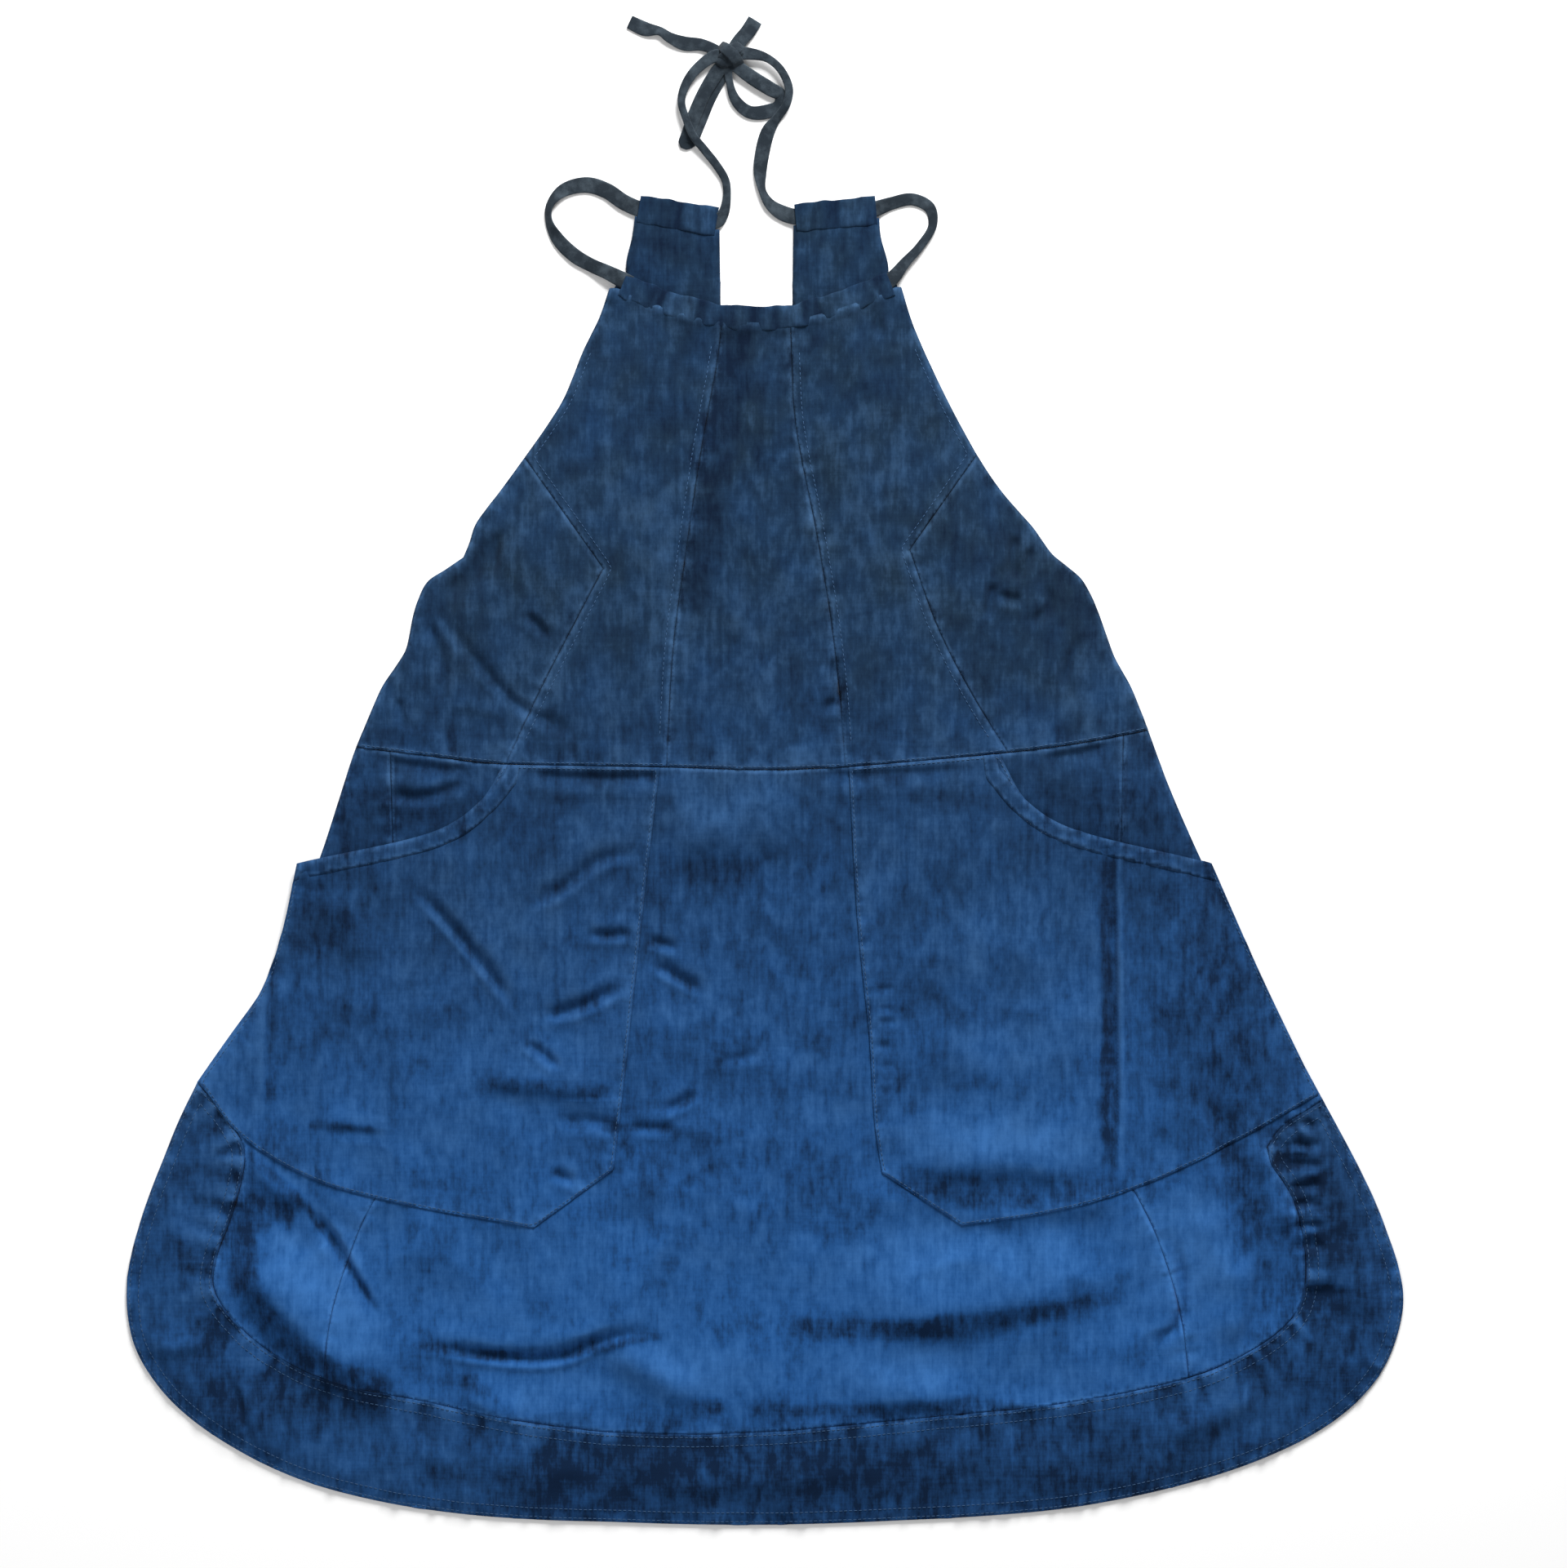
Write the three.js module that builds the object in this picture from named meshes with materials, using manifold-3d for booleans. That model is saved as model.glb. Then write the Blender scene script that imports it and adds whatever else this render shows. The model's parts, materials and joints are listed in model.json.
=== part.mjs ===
// Halter smock apron lying flat, front up. Millimetres, +Z up, neck towards +Y.
// Pattern points are drafted about the centre front line (u = 0) and the waist seam (v = 0).
import * as THREE from 'three';
import { mergeVertices } from 'three/addons/utils/BufferGeometryUtils.js';
import Module from 'manifold-3d';

const wasm = await Module();
wasm.setup();

// ---------------------------------------------------------------- driving dimensions
const HEM_WIDTH = 885; // widest, across the hem corners
const BODICE_HEIGHT = 343; // waist seam to the ends of the front neck casing
const SKIRT_LENGTH = 524; // waist seam to the hem at the centre front
const CLOTH = 1.2; // thickness of one layer of cloth with its seams
const BODY_ROOM = 5.6; // clear height between the back and the front
const POCKET_ROOM = 5.3; // clear height inside a pocket
const SEAM_GAP = 0.4; // between two pieces sewn edge to edge
const LAYER_GAP = 0.3; // between two pieces lying on each other
const FACING_WIDTH = 11; // pocket mouth facing
const RIM = 3; // sewn edge that closes a pocket
const FOLD_RIM = 4; // cloth turned round at the sides
const ARMHOLE_FACING = 14; // strip turned inside the armhole edge
const FOLD_LINE = 34; // height of the fold above the waist seam
const FOLD_GAP = 1; // between the pieces that turn about the fold
const FRONT_CASING = 17; // height of the front neck casing
const TAB_CASING = 20; // height of the casing on each back tab
const CASING_WALL = 1.1;
const TIE_WIDTH = 11;
const TIE_THICKNESS = 1.4;
const TIE_CLEARANCE = 0.5; // all round the tie inside a casing
const KNOT = { length: 24, width: 20, height: 8.6 };

// The pattern is drafted at this size and graded to the sizes above.
const DRAFT = { hemWidth: 885, bodice: 343, skirt: 524 };
const FAR = 2000; // beyond every edge of the cloth

// ---------------------------------------------------------------- levels
const backTop = CLOTH;
const frontBottom = backTop + BODY_ROOM;
const frontTop = frontBottom + CLOTH;
const pocketBottom = frontTop + POCKET_ROOM;
const pocketTop = pocketBottom + CLOTH;
const casingDepth = TIE_THICKNESS + 2 * TIE_CLEARANCE + 2 * CASING_WALL;
const tabTie = casingDepth / 2; // height of the tie inside a tab casing
const neckTie = frontBottom + casingDepth / 2; // and inside the front casing

// ---------------------------------------------------------------- pattern drafting
const gradeWidth = HEM_WIDTH / DRAFT.hemWidth;
const gradeBodice = BODICE_HEIGHT / DRAFT.bodice;
const gradeSkirt = SKIRT_LENGTH / DRAFT.skirt;

function grade(u, v) {
  return new THREE.Vector2(u * gradeWidth, v * (v > 0 ? gradeBodice : gradeSkirt));
}

// Straight cuts from side to side and from end to end, well past the cloth.
function levelCut(v) {
  const height = grade(0, v).y;
  return [new THREE.Vector2(-FAR / 2, height), new THREE.Vector2(FAR / 2, height)];
}

function uprightCut(u) {
  const place = grade(u, 0).x;
  return [new THREE.Vector2(place, FAR / 2), new THREE.Vector2(place, -FAR / 2)];
}

// Sharp points as drawn.
function line(points) {
  return points.map(([u, v]) => grade(u, v));
}

// A smooth curve through the drawn points.
function curve(points, perSpan = 3) {
  const knots = line(points).map((p) => new THREE.Vector3(p.x, p.y, 0));
  const smooth = new THREE.CatmullRomCurve3(knots, false, 'centripetal');
  return smooth.getPoints((points.length - 1) * perSpan).map((p) => new THREE.Vector2(p.x, p.y));
}

// The line moved to its left by a distance, with mitred corners.
function offset(points, distance, closed = false) {
  const count = points.length;
  return points.map((point, i) => {
    const before = closed ? points[(i + count - 1) % count] : points[Math.max(i - 1, 0)];
    const after = closed ? points[(i + 1) % count] : points[Math.min(i + 1, count - 1)];
    const into = point.clone().sub(before);
    const out = after.clone().sub(point);
    if (into.length() === 0) into.copy(out);
    if (out.length() === 0) out.copy(into);
    into.normalize();
    out.normalize();
    const bisector = new THREE.Vector2(-into.y - out.y, into.x + out.x).normalize();
    const mitre = Math.max(0.5, bisector.dot(new THREE.Vector2(-into.y, into.x)));
    return point.clone().addScaledVector(bisector, distance / mitre);
  });
}

// ---------------------------------------------------------------- solids
function toSolid(geometry) {
  const bare = geometry.clone();
  bare.deleteAttribute('normal');
  bare.deleteAttribute('uv');
  const merged = mergeVertices(bare, 1e-5);
  return new wasm.Manifold(
    new wasm.Mesh({
      numProp: 3,
      vertProperties: new Float32Array(merged.attributes.position.array),
      triVerts: new Uint32Array(merged.index.array),
    }),
  );
}

function toGeometry(solid) {
  const mesh = solid.getMesh();
  const geometry = new THREE.BufferGeometry();
  geometry.setAttribute('position', new THREE.BufferAttribute(mesh.vertProperties, 3));
  geometry.setIndex(new THREE.BufferAttribute(mesh.triVerts, 1));
  geometry.computeVertexNormals();
  return geometry;
}

// A flat piece of cloth of any outline between two heights.
function plate(outline, bottom, top) {
  const geometry = new THREE.ExtrudeGeometry(new THREE.Shape(outline), {
    depth: top - bottom,
    bevelEnabled: false,
  });
  return toSolid(geometry.translate(0, 0, bottom));
}

// Everything on one side of a seam, kept half a seam gap away from it.
// Seams run top to bottom for left and right, and left to right for above and below.
function beside(seam, side, gap = SEAM_GAP / 2) {
  const away = { left: -1, right: 1, above: 1, below: -1 }[side];
  const edge = offset(seam, gap * away);
  const first = edge[0];
  const last = edge[edge.length - 1];
  const upright = side === 'left' || side === 'right';
  const around = upright
    ? [[last.x, -FAR], [away * FAR, -FAR], [away * FAR, FAR], [first.x, FAR]]
    : [[FAR, last.y], [FAR, away * FAR], [-FAR, away * FAR], [-FAR, first.y]];
  const corners = around.map(([x, y]) => new THREE.Vector2(x, y));
  return plate([...edge, ...corners], -FAR, FAR);
}

function keep(solid, ...regions) {
  return regions.reduce((part, region) => part.intersect(region), solid);
}

// ---------------------------------------------------------------- the draft
const leftSide = [
  [-96, 337], [-120, 289], [-134, 255], [-160, 216], [-179, 190], [-195, 168], [-203, 146],
  [-228, 129], [-238, 105], [-243, 82], [-259, 57], [-270, 32], [-279, 10], [-300, -55],
  [-322, -112], [-344, -156], [-387, -217], [-411, -271], [-428, -318], [-436, -358],
  [-430, -402], [-396, -447], [-315, -493], [-208, -516], [-100, -522], [-1, -524],
];
const rightSide = [
  [98, -521], [211, -513], [296, -496], [358, -475], [404, -449], [434, -416], [448, -368],
  [437, -322], [420, -282], [387, -220], [350, -150], [310, -68], [285, -11], [271, 27],
  [259, 57], [248, 77], [236, 110], [225, 131], [205, 148], [192, 166], [171, 190],
  [152, 218], [121, 278], [96, 337],
];
const outline = curve([...leftSide, ...rightSide], 2);
const waistSeam = curve([[-290, 16], [-230, 9], [-177, 3], [-66, 1], [19, -1], [126, 6], [222, 17], [285, 29]]);
const foldLine = levelCut(FOLD_LINE);
const hemSeam = curve([
  [-400, -203], [-355, -262], [-360, -300], [-376, -356], [-358, -386], [-310, -418], [-230, -438],
  [-117, -458], [-15, -460], [126, -448], [225, -437], [320, -414], [372, -379], [380, -350],
  [372, -300], [353, -262], [400, -225],
]);
const neckLine = [[-93, 334], [-60, 321], [-20, 312], [20, 312], [60, 322], [93, 335]];
const princess = {
  left: curve([[-22, 340], [-24, 303], [-39, 216], [-49, 148], [-58, 80], [-63, -30]]),
  right: curve([[22, 340], [24, 289], [27, 238], [41, 165], [53, 91], [65, -30]]),
};
const sidePanelSeam = {
  left: line([[-172, 231], [-106, 138], [-148, 57], [-185, -20]]),
  right: line([[164, 233], [106, 151], [125, 98], [149, 51], [190, -20]]),
};
const skirtSideSeam = {
  left: curve([[-255, 60], [-252, -60], [-251, -265], [-275, -320], [-292, -372], [-300, -430]]),
  right: curve([[255, 60], [252, -60], [251, -265], [275, -320], [292, -372], [300, -430]]),
};
const centreBack = uprightCut(0);
const backOpening = line([
  [-25, 420], [-25, 322], [-19, 200], [-9, 100], [-2, FOLD_LINE + 12], [2, FOLD_LINE + 12],
  [9, 100], [19, 200], [25, 322], [25, 420],
]);
const tabs = {
  left: line([[-90, 320], [-90, 351], [-86, 368], [-80, 397], [-26, 388], [-25, 322], [-25, 250]]),
  right: line([[25, 250], [25, 322], [26, 391], [82, 396], [86, 368], [91, 349], [92, 320]]),
};
const tabTop = {
  left: line([[-80, 397], [-26, 388]]),
  right: line([[26, 391], [82, 396]]),
};
const pocketMouth = {
  left: [[-175, -4], [-190, -22], [-216, -41], [-318, -66]],
  right: [[168, -1], [186, -22], [211, -39], [315, -66]],
};
const pocketEdge = {
  left: [
    [-329, -116], [-344, -156], [-386, -217], [-358, -253], [-307, -284], [-242, -302], [-154, -318],
    [-99, -278], [-92, -220], [-84, -147], [-75, -67], [-67, -7],
  ],
  right: [
    [350, -145], [389, -226], [324, -262], [268, -288], [211, -305], [142, -316],
    [87, -280], [82, -248], [78, -186], [70, -107], [64, -7],
  ],
};

// ---------------------------------------------------------------- cloth layers
const frontCloth = plate(outline, frontBottom, frontTop);
const backBody = plate(outline, 0, backTop);
const aboveWaist = beside(waistSeam, 'above');
const belowWaist = beside(waistSeam, 'below');
const aboveFold = beside(foldLine, 'above', FOLD_GAP / 2);
const belowFold = beside(foldLine, 'below', FOLD_GAP / 2);
const aboveHem = beside(hemSeam, 'above');
const belowHem = beside(hemSeam, 'below');
const turnedEdge = plate(outline, backTop + LAYER_GAP, frontBottom - LAYER_GAP).subtract(
  plate(offset(outline, FOLD_RIM, true), 0, frontTop),
);
const armholeEdge = plate(outline, frontBottom - LAYER_GAP - CLOTH, frontBottom - LAYER_GAP).subtract(
  plate(offset(outline, ARMHOLE_FACING, true), 0, frontTop),
);

// A path whose frames stay level, so that a flat section never rolls.
class LevelPath extends THREE.CatmullRomCurve3 {
  computeFrenetFrames(segments) {
    const frames = { tangents: [], normals: [], binormals: [] };
    for (let i = 0; i <= segments; i++) {
      const tangent = this.getTangentAt(i / segments);
      const across = new THREE.Vector3(-tangent.y, tangent.x, 0).normalize();
      frames.tangents.push(tangent);
      frames.normals.push(across);
      frames.binormals.push(new THREE.Vector3().crossVectors(tangent, across));
    }
    return frames;
  }
}

function flatSection(width, height, corner) {
  const x = width / 2;
  const y = height / 2;
  const points = [
    [-x + corner, -y], [x - corner, -y], [x, -y + corner], [x, y - corner],
    [x - corner, y], [-x + corner, y], [-x, y - corner], [-x, -y + corner],
  ];
  return points.map(([a, b]) => new THREE.Vector2(a, b));
}

function sweep(section, points, steps) {
  const path = new LevelPath(points, false, 'centripetal');
  return new THREE.ExtrudeGeometry(section, { steps, extrudePath: path, bevelEnabled: false });
}

// A flattened tube of cloth about a line, hollow for the tie.
function casing(height, points, steps) {
  const corner = 1;
  const section = new THREE.Shape(flatSection(height, casingDepth, corner));
  const tunnelWidth = TIE_WIDTH + 2 * TIE_CLEARANCE;
  const tunnelDepth = casingDepth - 2 * CASING_WALL;
  section.holes.push(new THREE.Path(flatSection(tunnelWidth, tunnelDepth, corner / 2)));
  return sweep(section, points, steps);
}

const tieSection = new THREE.Shape(flatSection(TIE_WIDTH, TIE_THICKNESS, 0.4));

// The tie's routes: graded points of the drawn line with a height for each.
function route(points) {
  return points.map(([u, v, z]) => {
    const flat = grade(u, v);
    return new THREE.Vector3(flat.x, flat.y, z);
  });
}

const onTable = TIE_THICKNESS / 2 + LAYER_GAP;
const overLoop = 2 * TIE_THICKNESS + 2 * LAYER_GAP + TIE_THICKNESS / 2 + 0.4;

// ---------------------------------------------------------------- finishes
const finish = {
  bodice: { color: 0x2a4a6c, roughness: 0.9, metalness: 0 },
  skirt: { color: 0x2f5f9c, roughness: 0.9, metalness: 0 },
  back: { color: 0x294f80, roughness: 0.9, metalness: 0 },
  tie: { color: 0x2a3843, roughness: 0.85, metalness: 0 },
};

const apron = new THREE.Group();

function add(name, shape, look) {
  const geometry = shape.isBufferGeometry ? shape : toGeometry(shape);
  const mesh = new THREE.Mesh(geometry, new THREE.MeshStandardMaterial(finish[look]));
  mesh.name = name;
  apron.add(mesh);
}

// ---------------------------------------------------------------- skirt
const sides = ['left', 'right'];
const opposite = { left: 'right', right: 'left' };
const skirtCloth = keep(frontCloth, belowWaist, aboveHem);
const betweenSeams = [beside(skirtSideSeam.left, 'right'), beside(skirtSideSeam.right, 'left')];
add('skirt_front', keep(skirtCloth, ...betweenSeams), 'skirt');
add('hem_band_front', keep(frontCloth, belowHem), 'skirt');
add('waist_strip_front', keep(frontCloth, aboveWaist, belowFold), 'bodice');

function pocket(side) {
  const edge = line([...pocketMouth[side], ...pocketEdge[side]]);
  const inward = side === 'left' ? RIM : -RIM;
  const top = plate(edge, pocketBottom, pocketTop);
  const wall = plate(edge, frontTop + LAYER_GAP, pocketBottom + 0.01);
  const hollow = plate(offset(edge, inward, true), 0, pocketBottom + 0.02);
  const mouth = line(pocketMouth[side]);
  const clear = RIM + FACING_WIDTH;
  const mouthWay = plate([...offset(mouth, clear), ...offset(mouth, -clear).reverse()], 0, pocketBottom);
  return top.add(wall.subtract(hollow).subtract(mouthWay));
}

function pocketFacing(side) {
  const mouth = line(pocketMouth[side]);
  const inward = side === 'left' ? FACING_WIDTH : -FACING_WIDTH;
  const strip = [...mouth, ...offset(mouth, inward).reverse()];
  const bottom = pocketTop + LAYER_GAP;
  return plate(strip, bottom, bottom + CLOTH);
}

const sideLimit = { left: uprightCut(-150), right: uprightCut(150) };
const aboveCorner = beside(levelCut(-340), 'above');

for (const side of sides) {
  const half = beside(centreBack, side);
  const outer = beside(sideLimit[side], side);
  add(`pocket_${side}`, pocket(side), 'skirt');
  add(`pocket_facing_${side}`, pocketFacing(side), 'skirt');
  add(`skirt_back_${side}`, keep(backBody, belowWaist, aboveHem, half), 'back');
  add(`skirt_back_${side}_wrap`, keep(skirtCloth, beside(skirtSideSeam[side], side)), 'skirt');
  add(`skirt_back_${side}_fold`, keep(turnedEdge, belowWaist, aboveCorner, outer), 'back');
  add(`hem_band_back_${side}`, keep(backBody, belowHem, half), 'back');
  add(`waist_strip_back_${side}`, keep(backBody, aboveWaist, belowFold, half), 'back');
}

// ---------------------------------------------------------------- bodice
const belowNeck = beside(curve(neckLine), 'below', FRONT_CASING / 2 + LAYER_GAP);
const bibCloth = keep(frontCloth, aboveFold, belowNeck);
const centreRegions = [beside(princess.left, 'right'), beside(princess.right, 'left')];
add('bib_centre', keep(bibCloth, ...centreRegions), 'bodice');
const underarm = beside(levelCut(128), 'below', 0);
const aboveUnderarm = beside(levelCut(170), 'above', 0);

for (const side of sides) {
  const half = beside(centreBack, side);
  const outer = beside(sideLimit[side], side);
  const inner = opposite[side];
  add(
    `bib_inner_${side}`,
    keep(bibCloth, beside(princess[side], side), beside(sidePanelSeam[side], inner)),
    'bodice',
  );
  add(`bib_side_${side}`, keep(bibCloth, beside(sidePanelSeam[side], side)), 'bodice');
  add(`bodice_side_seam_${side}`, keep(turnedEdge, aboveFold, underarm, outer), 'bodice');
  add(`armhole_facing_${side}`, keep(armholeEdge, aboveUnderarm, belowNeck, half), 'bodice');
  const belowCasing = beside(tabTop[side], 'below', TAB_CASING + LAYER_GAP);
  const back = backBody.add(plate(tabs[side], 0, backTop)).subtract(plate(backOpening, -1, frontTop));
  add(`bodice_back_${side}`, keep(back, aboveFold, half, belowCasing), 'back');
}

// ---------------------------------------------------------------- casings and the tie
// The space that a casing takes, a layer gap larger all round and at its ends.
function roomAround(height, points, steps) {
  const grown = points.map((p) => p.clone());
  const last = grown.length - 1;
  const startOut = grown[0].clone().sub(grown[1]).setLength(LAYER_GAP);
  const endOut = grown[last].clone().sub(grown[last - 1]).setLength(LAYER_GAP);
  grown[0].add(startOut);
  grown[last].add(endOut);
  const section = flatSection(height + 2 * LAYER_GAP, casingDepth + 2 * LAYER_GAP, 1);
  return toSolid(sweep(new THREE.Shape(section), grown, steps));
}

const neckRoute = route(neckLine.map(([u, v]) => [u, v, neckTie]));
add('front_neck_casing', casing(FRONT_CASING, neckRoute, 20), 'bodice');
add('tie_front_run', sweep(tieSection, neckRoute, 20), 'tie');
const frontRoom = roomAround(FRONT_CASING, neckRoute, 20);

// Each tab casing hangs from the top edge of its tab, half its height down.
const tabRoute = {};
const tabRoom = {};
for (const side of sides) {
  const middle = offset(tabTop[side], -TAB_CASING / 2);
  tabRoute[side] = middle.map((p) => new THREE.Vector3(p.x, p.y, tabTie));
  tabRoom[side] = roomAround(TAB_CASING, tabRoute[side], 1);
  add(`tab_casing_${side}`, casing(TAB_CASING, tabRoute[side], 1), 'bodice');
  add(`tie_tab_run_${side}`, sweep(tieSection, tabRoute[side], 1), 'tie');
}

// Each free stretch of the tie starts inside its casing and is trimmed where the casing ends.
const tabOuter = { left: tabRoute.left[0], right: tabRoute.right[1] };
const tabInner = { left: tabRoute.left[1], right: tabRoute.right[0] };
const frontEnd = { left: neckRoute[0], right: neckRoute[neckRoute.length - 1] };

const shoulder = {
  left: route([
    [-92, 392, 2], [-104, 399, onTable], [-120, 402, onTable], [-138, 397, onTable], [-144, 384, onTable],
    [-138, 369, onTable], [-125, 357, 2.4], [-109, 346, 6],
  ]),
  right: route([
    [95, 389, 1.8], [108, 392, onTable], [120, 385, onTable], [119, 371, 2], [110, 356, 4.6], [103, 345, 8],
  ]),
};
for (const side of sides) {
  const strap = toSolid(sweep(tieSection, [tabOuter[side], ...shoulder[side], frontEnd[side]], 22));
  add(`tie_shoulder_loop_${side}`, strap.subtract(tabRoom[side]).subtract(frontRoom), 'tie');
}

const neck = {
  left: route([
    [-18, 384, 1.6], [-15, 394, onTable], [-18, 408, onTable], [-28, 421, 2.6], [-38, 430, overLoop],
    [-49, 444, overLoop], [-54, 459, overLoop], [-51, 474, overLoop], [-42, 486, overLoop],
    [-32, 493, overLoop], [-22, 496, overLoop],
  ]),
  right: route([
    [17, 386, 1.4], [7, 391, onTable], [2, 403, onTable], [2, 422, onTable], [6, 438, 3], [14, 450, overLoop],
    [22, 466, overLoop], [19, 480, overLoop], [10, 490, overLoop], [0, 494, overLoop], [-10, 496, overLoop],
  ]),
};

// The bow: a squashed knot, an open loop, a flattened loop and two tails, trimmed at the knot.
const knotCentre = grade(-19, 496);
const knotBall = new THREE.SphereGeometry(0.5, 12, 8);
knotBall.scale(KNOT.length, KNOT.width, KNOT.height);
knotBall.rotateZ(THREE.MathUtils.degToRad(35));
knotBall.translate(knotCentre.x, knotCentre.y, KNOT.height / 2);
add('bow_knot', toSolid(knotBall), 'tie');

const knotReach = KNOT.length / 2 + LAYER_GAP;
const knotCircle = new THREE.EllipseCurve(knotCentre.x, knotCentre.y, knotReach, knotReach);
const knotRoom = plate(knotCircle.getPoints(24).slice(0, -1), -FAR, FAR);

for (const side of sides) {
  const strap = toSolid(sweep(tieSection, [tabInner[side], ...neck[side]], 26));
  add(`tie_neck_${side}`, strap.subtract(tabRoom[side]).subtract(knotRoom), 'tie');
}

const loopDepth = 2 * TIE_THICKNESS + LAYER_GAP;
const openLoop = line([
  [-14, 486], [-21, 468], [-15, 456], [-5, 449], [8, 450], [20, 456], [27, 465], [20, 474], [8, 481], [-6, 488],
]);
const openLoopHole = line([[-9, 477], [-11, 467], [-2, 461], [9, 462], [10, 465], [0, 470]]);
const ring = plate(openLoop, LAYER_GAP, LAYER_GAP + loopDepth).subtract(plate(openLoopHole, -1, FAR));
add('bow_loop_right', ring.subtract(knotRoom), 'tie');

const flatLoopHeight = LAYER_GAP + loopDepth / 2;
const flatLoop = sweep(
  new THREE.Shape(flatSection(TIE_WIDTH, loopDepth, 0.6)),
  route([[-25, 484], [-34, 470], [-42, 454], [-48, 434]].map(([u, v]) => [u, v, flatLoopHeight])),
  6,
);
add('bow_loop_left', toSolid(flatLoop).subtract(knotRoom), 'tie');

const tails = {
  left: [[-26, 499], [-45, 503], [-62, 508], [-76, 514], [-89, 519]],
  right: [[-16, 500], [-10, 508], [-2, 521]],
};
for (const side of sides) {
  const points = route(tails[side].map(([u, v]) => [u, v, onTable]));
  add(`bow_tail_${side}`, toSolid(sweep(tieSection, points, 8)).subtract(knotRoom), 'tie');
}

// The origin stands under the middle of the garment, the hanging tie left out.
const hanging = /^(tie_(shoulder|neck)|bow_)/;
const garment = new THREE.Box3();
for (const mesh of apron.children) {
  if (!hanging.test(mesh.name)) garment.expandByObject(mesh);
}
const middle = garment.getCenter(new THREE.Vector3());
apron.position.set(-middle.x, -middle.y, 0);

export default apron;
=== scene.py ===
"""A denim smock apron lying flat: cloth panels, pockets, gathered casings and a neck tie."""

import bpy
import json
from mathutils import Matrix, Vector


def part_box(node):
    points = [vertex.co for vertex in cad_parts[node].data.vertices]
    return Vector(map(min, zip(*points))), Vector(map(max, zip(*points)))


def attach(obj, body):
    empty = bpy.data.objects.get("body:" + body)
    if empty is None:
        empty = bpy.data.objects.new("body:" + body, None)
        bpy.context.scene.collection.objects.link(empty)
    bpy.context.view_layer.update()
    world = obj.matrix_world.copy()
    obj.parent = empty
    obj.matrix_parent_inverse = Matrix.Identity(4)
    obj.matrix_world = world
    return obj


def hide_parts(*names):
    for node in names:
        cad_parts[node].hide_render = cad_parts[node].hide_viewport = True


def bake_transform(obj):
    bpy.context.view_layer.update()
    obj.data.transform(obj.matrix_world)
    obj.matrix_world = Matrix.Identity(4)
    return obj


bl_info = {
    "name": "Smock apron",
    "version": (1, 0, 0),
    "blender": (4, 5, 0),
    "location": "View3D > Sidebar > Smock",
    "description": "Dresses the frame of a halter smock apron in sewn denim",
    "category": "Object",
}

import functools
import json
import math

import bmesh
import bpy
import numpy as np
from mathutils import Vector, geometry, kdtree

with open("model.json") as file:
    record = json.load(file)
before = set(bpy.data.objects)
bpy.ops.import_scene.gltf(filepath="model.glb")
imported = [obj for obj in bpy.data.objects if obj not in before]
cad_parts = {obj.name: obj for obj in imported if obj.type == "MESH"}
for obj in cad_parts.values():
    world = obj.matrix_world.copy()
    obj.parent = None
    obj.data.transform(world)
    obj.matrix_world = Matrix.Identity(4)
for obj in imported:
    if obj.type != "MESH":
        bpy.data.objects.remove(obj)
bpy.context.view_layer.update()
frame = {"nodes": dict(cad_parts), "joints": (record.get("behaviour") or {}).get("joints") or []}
MM = 0.001
SIDES = ("left", "right")
SIGN = {"left": -1, "right": 1}

# ---------------------------------------------------------------- places from the frame
# The pattern is drawn in millimetres about the centre front (u = 0) and the waist seam (v = 0).
FOLD_ABOVE_WAIST = 34
CENTRE_X = (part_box("bodice_back_left")[1].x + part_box("bodice_back_right")[0].x) / 2 / MM
FOLD_Y = frame["joints"][0]["pos_m"][1] / MM
WAIST_Y = FOLD_Y - FOLD_ABOVE_WAIST
AT_FOLD = 0.8  # a point this close to the fold line is on it
SEAM_CLOSE = 0.12  # each cut edge is let out by this much towards its neighbour
SEAM_SHARED = 2.6  # two outlines this close together are sewn to each other
SIDE_FOLD = (-340, 128)  # between these levels the front turns round to the back at the sides
BIB_PANELS = ["bib_centre", "bib_inner_left", "bib_inner_right", "bib_side_left", "bib_side_right"]
SKIRT_PANELS = ["skirt_front", "skirt_back_left_wrap", "skirt_back_right_wrap", "hem_band_front"]

FACING = 11  # width of the band along a pocket's mouth
TAB_LEVEL = 2.6  # height of the middle of a tab's casing
MOUTH = {
    "left": [(-175, -4), (-190, -22), (-216, -41), (-318, -66)],
    "right": [(168, -1), (186, -22), (211, -39), (315, -66)],
}
NECK_LINE = [(-93, 334), (-60, 321), (-20, 312), (20, 312), (60, 322), (93, 335)]
TAB_TOP = {"left": [(-80, 397), (-26, 388)], "right": [(26, 391), (82, 396)]}

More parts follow.
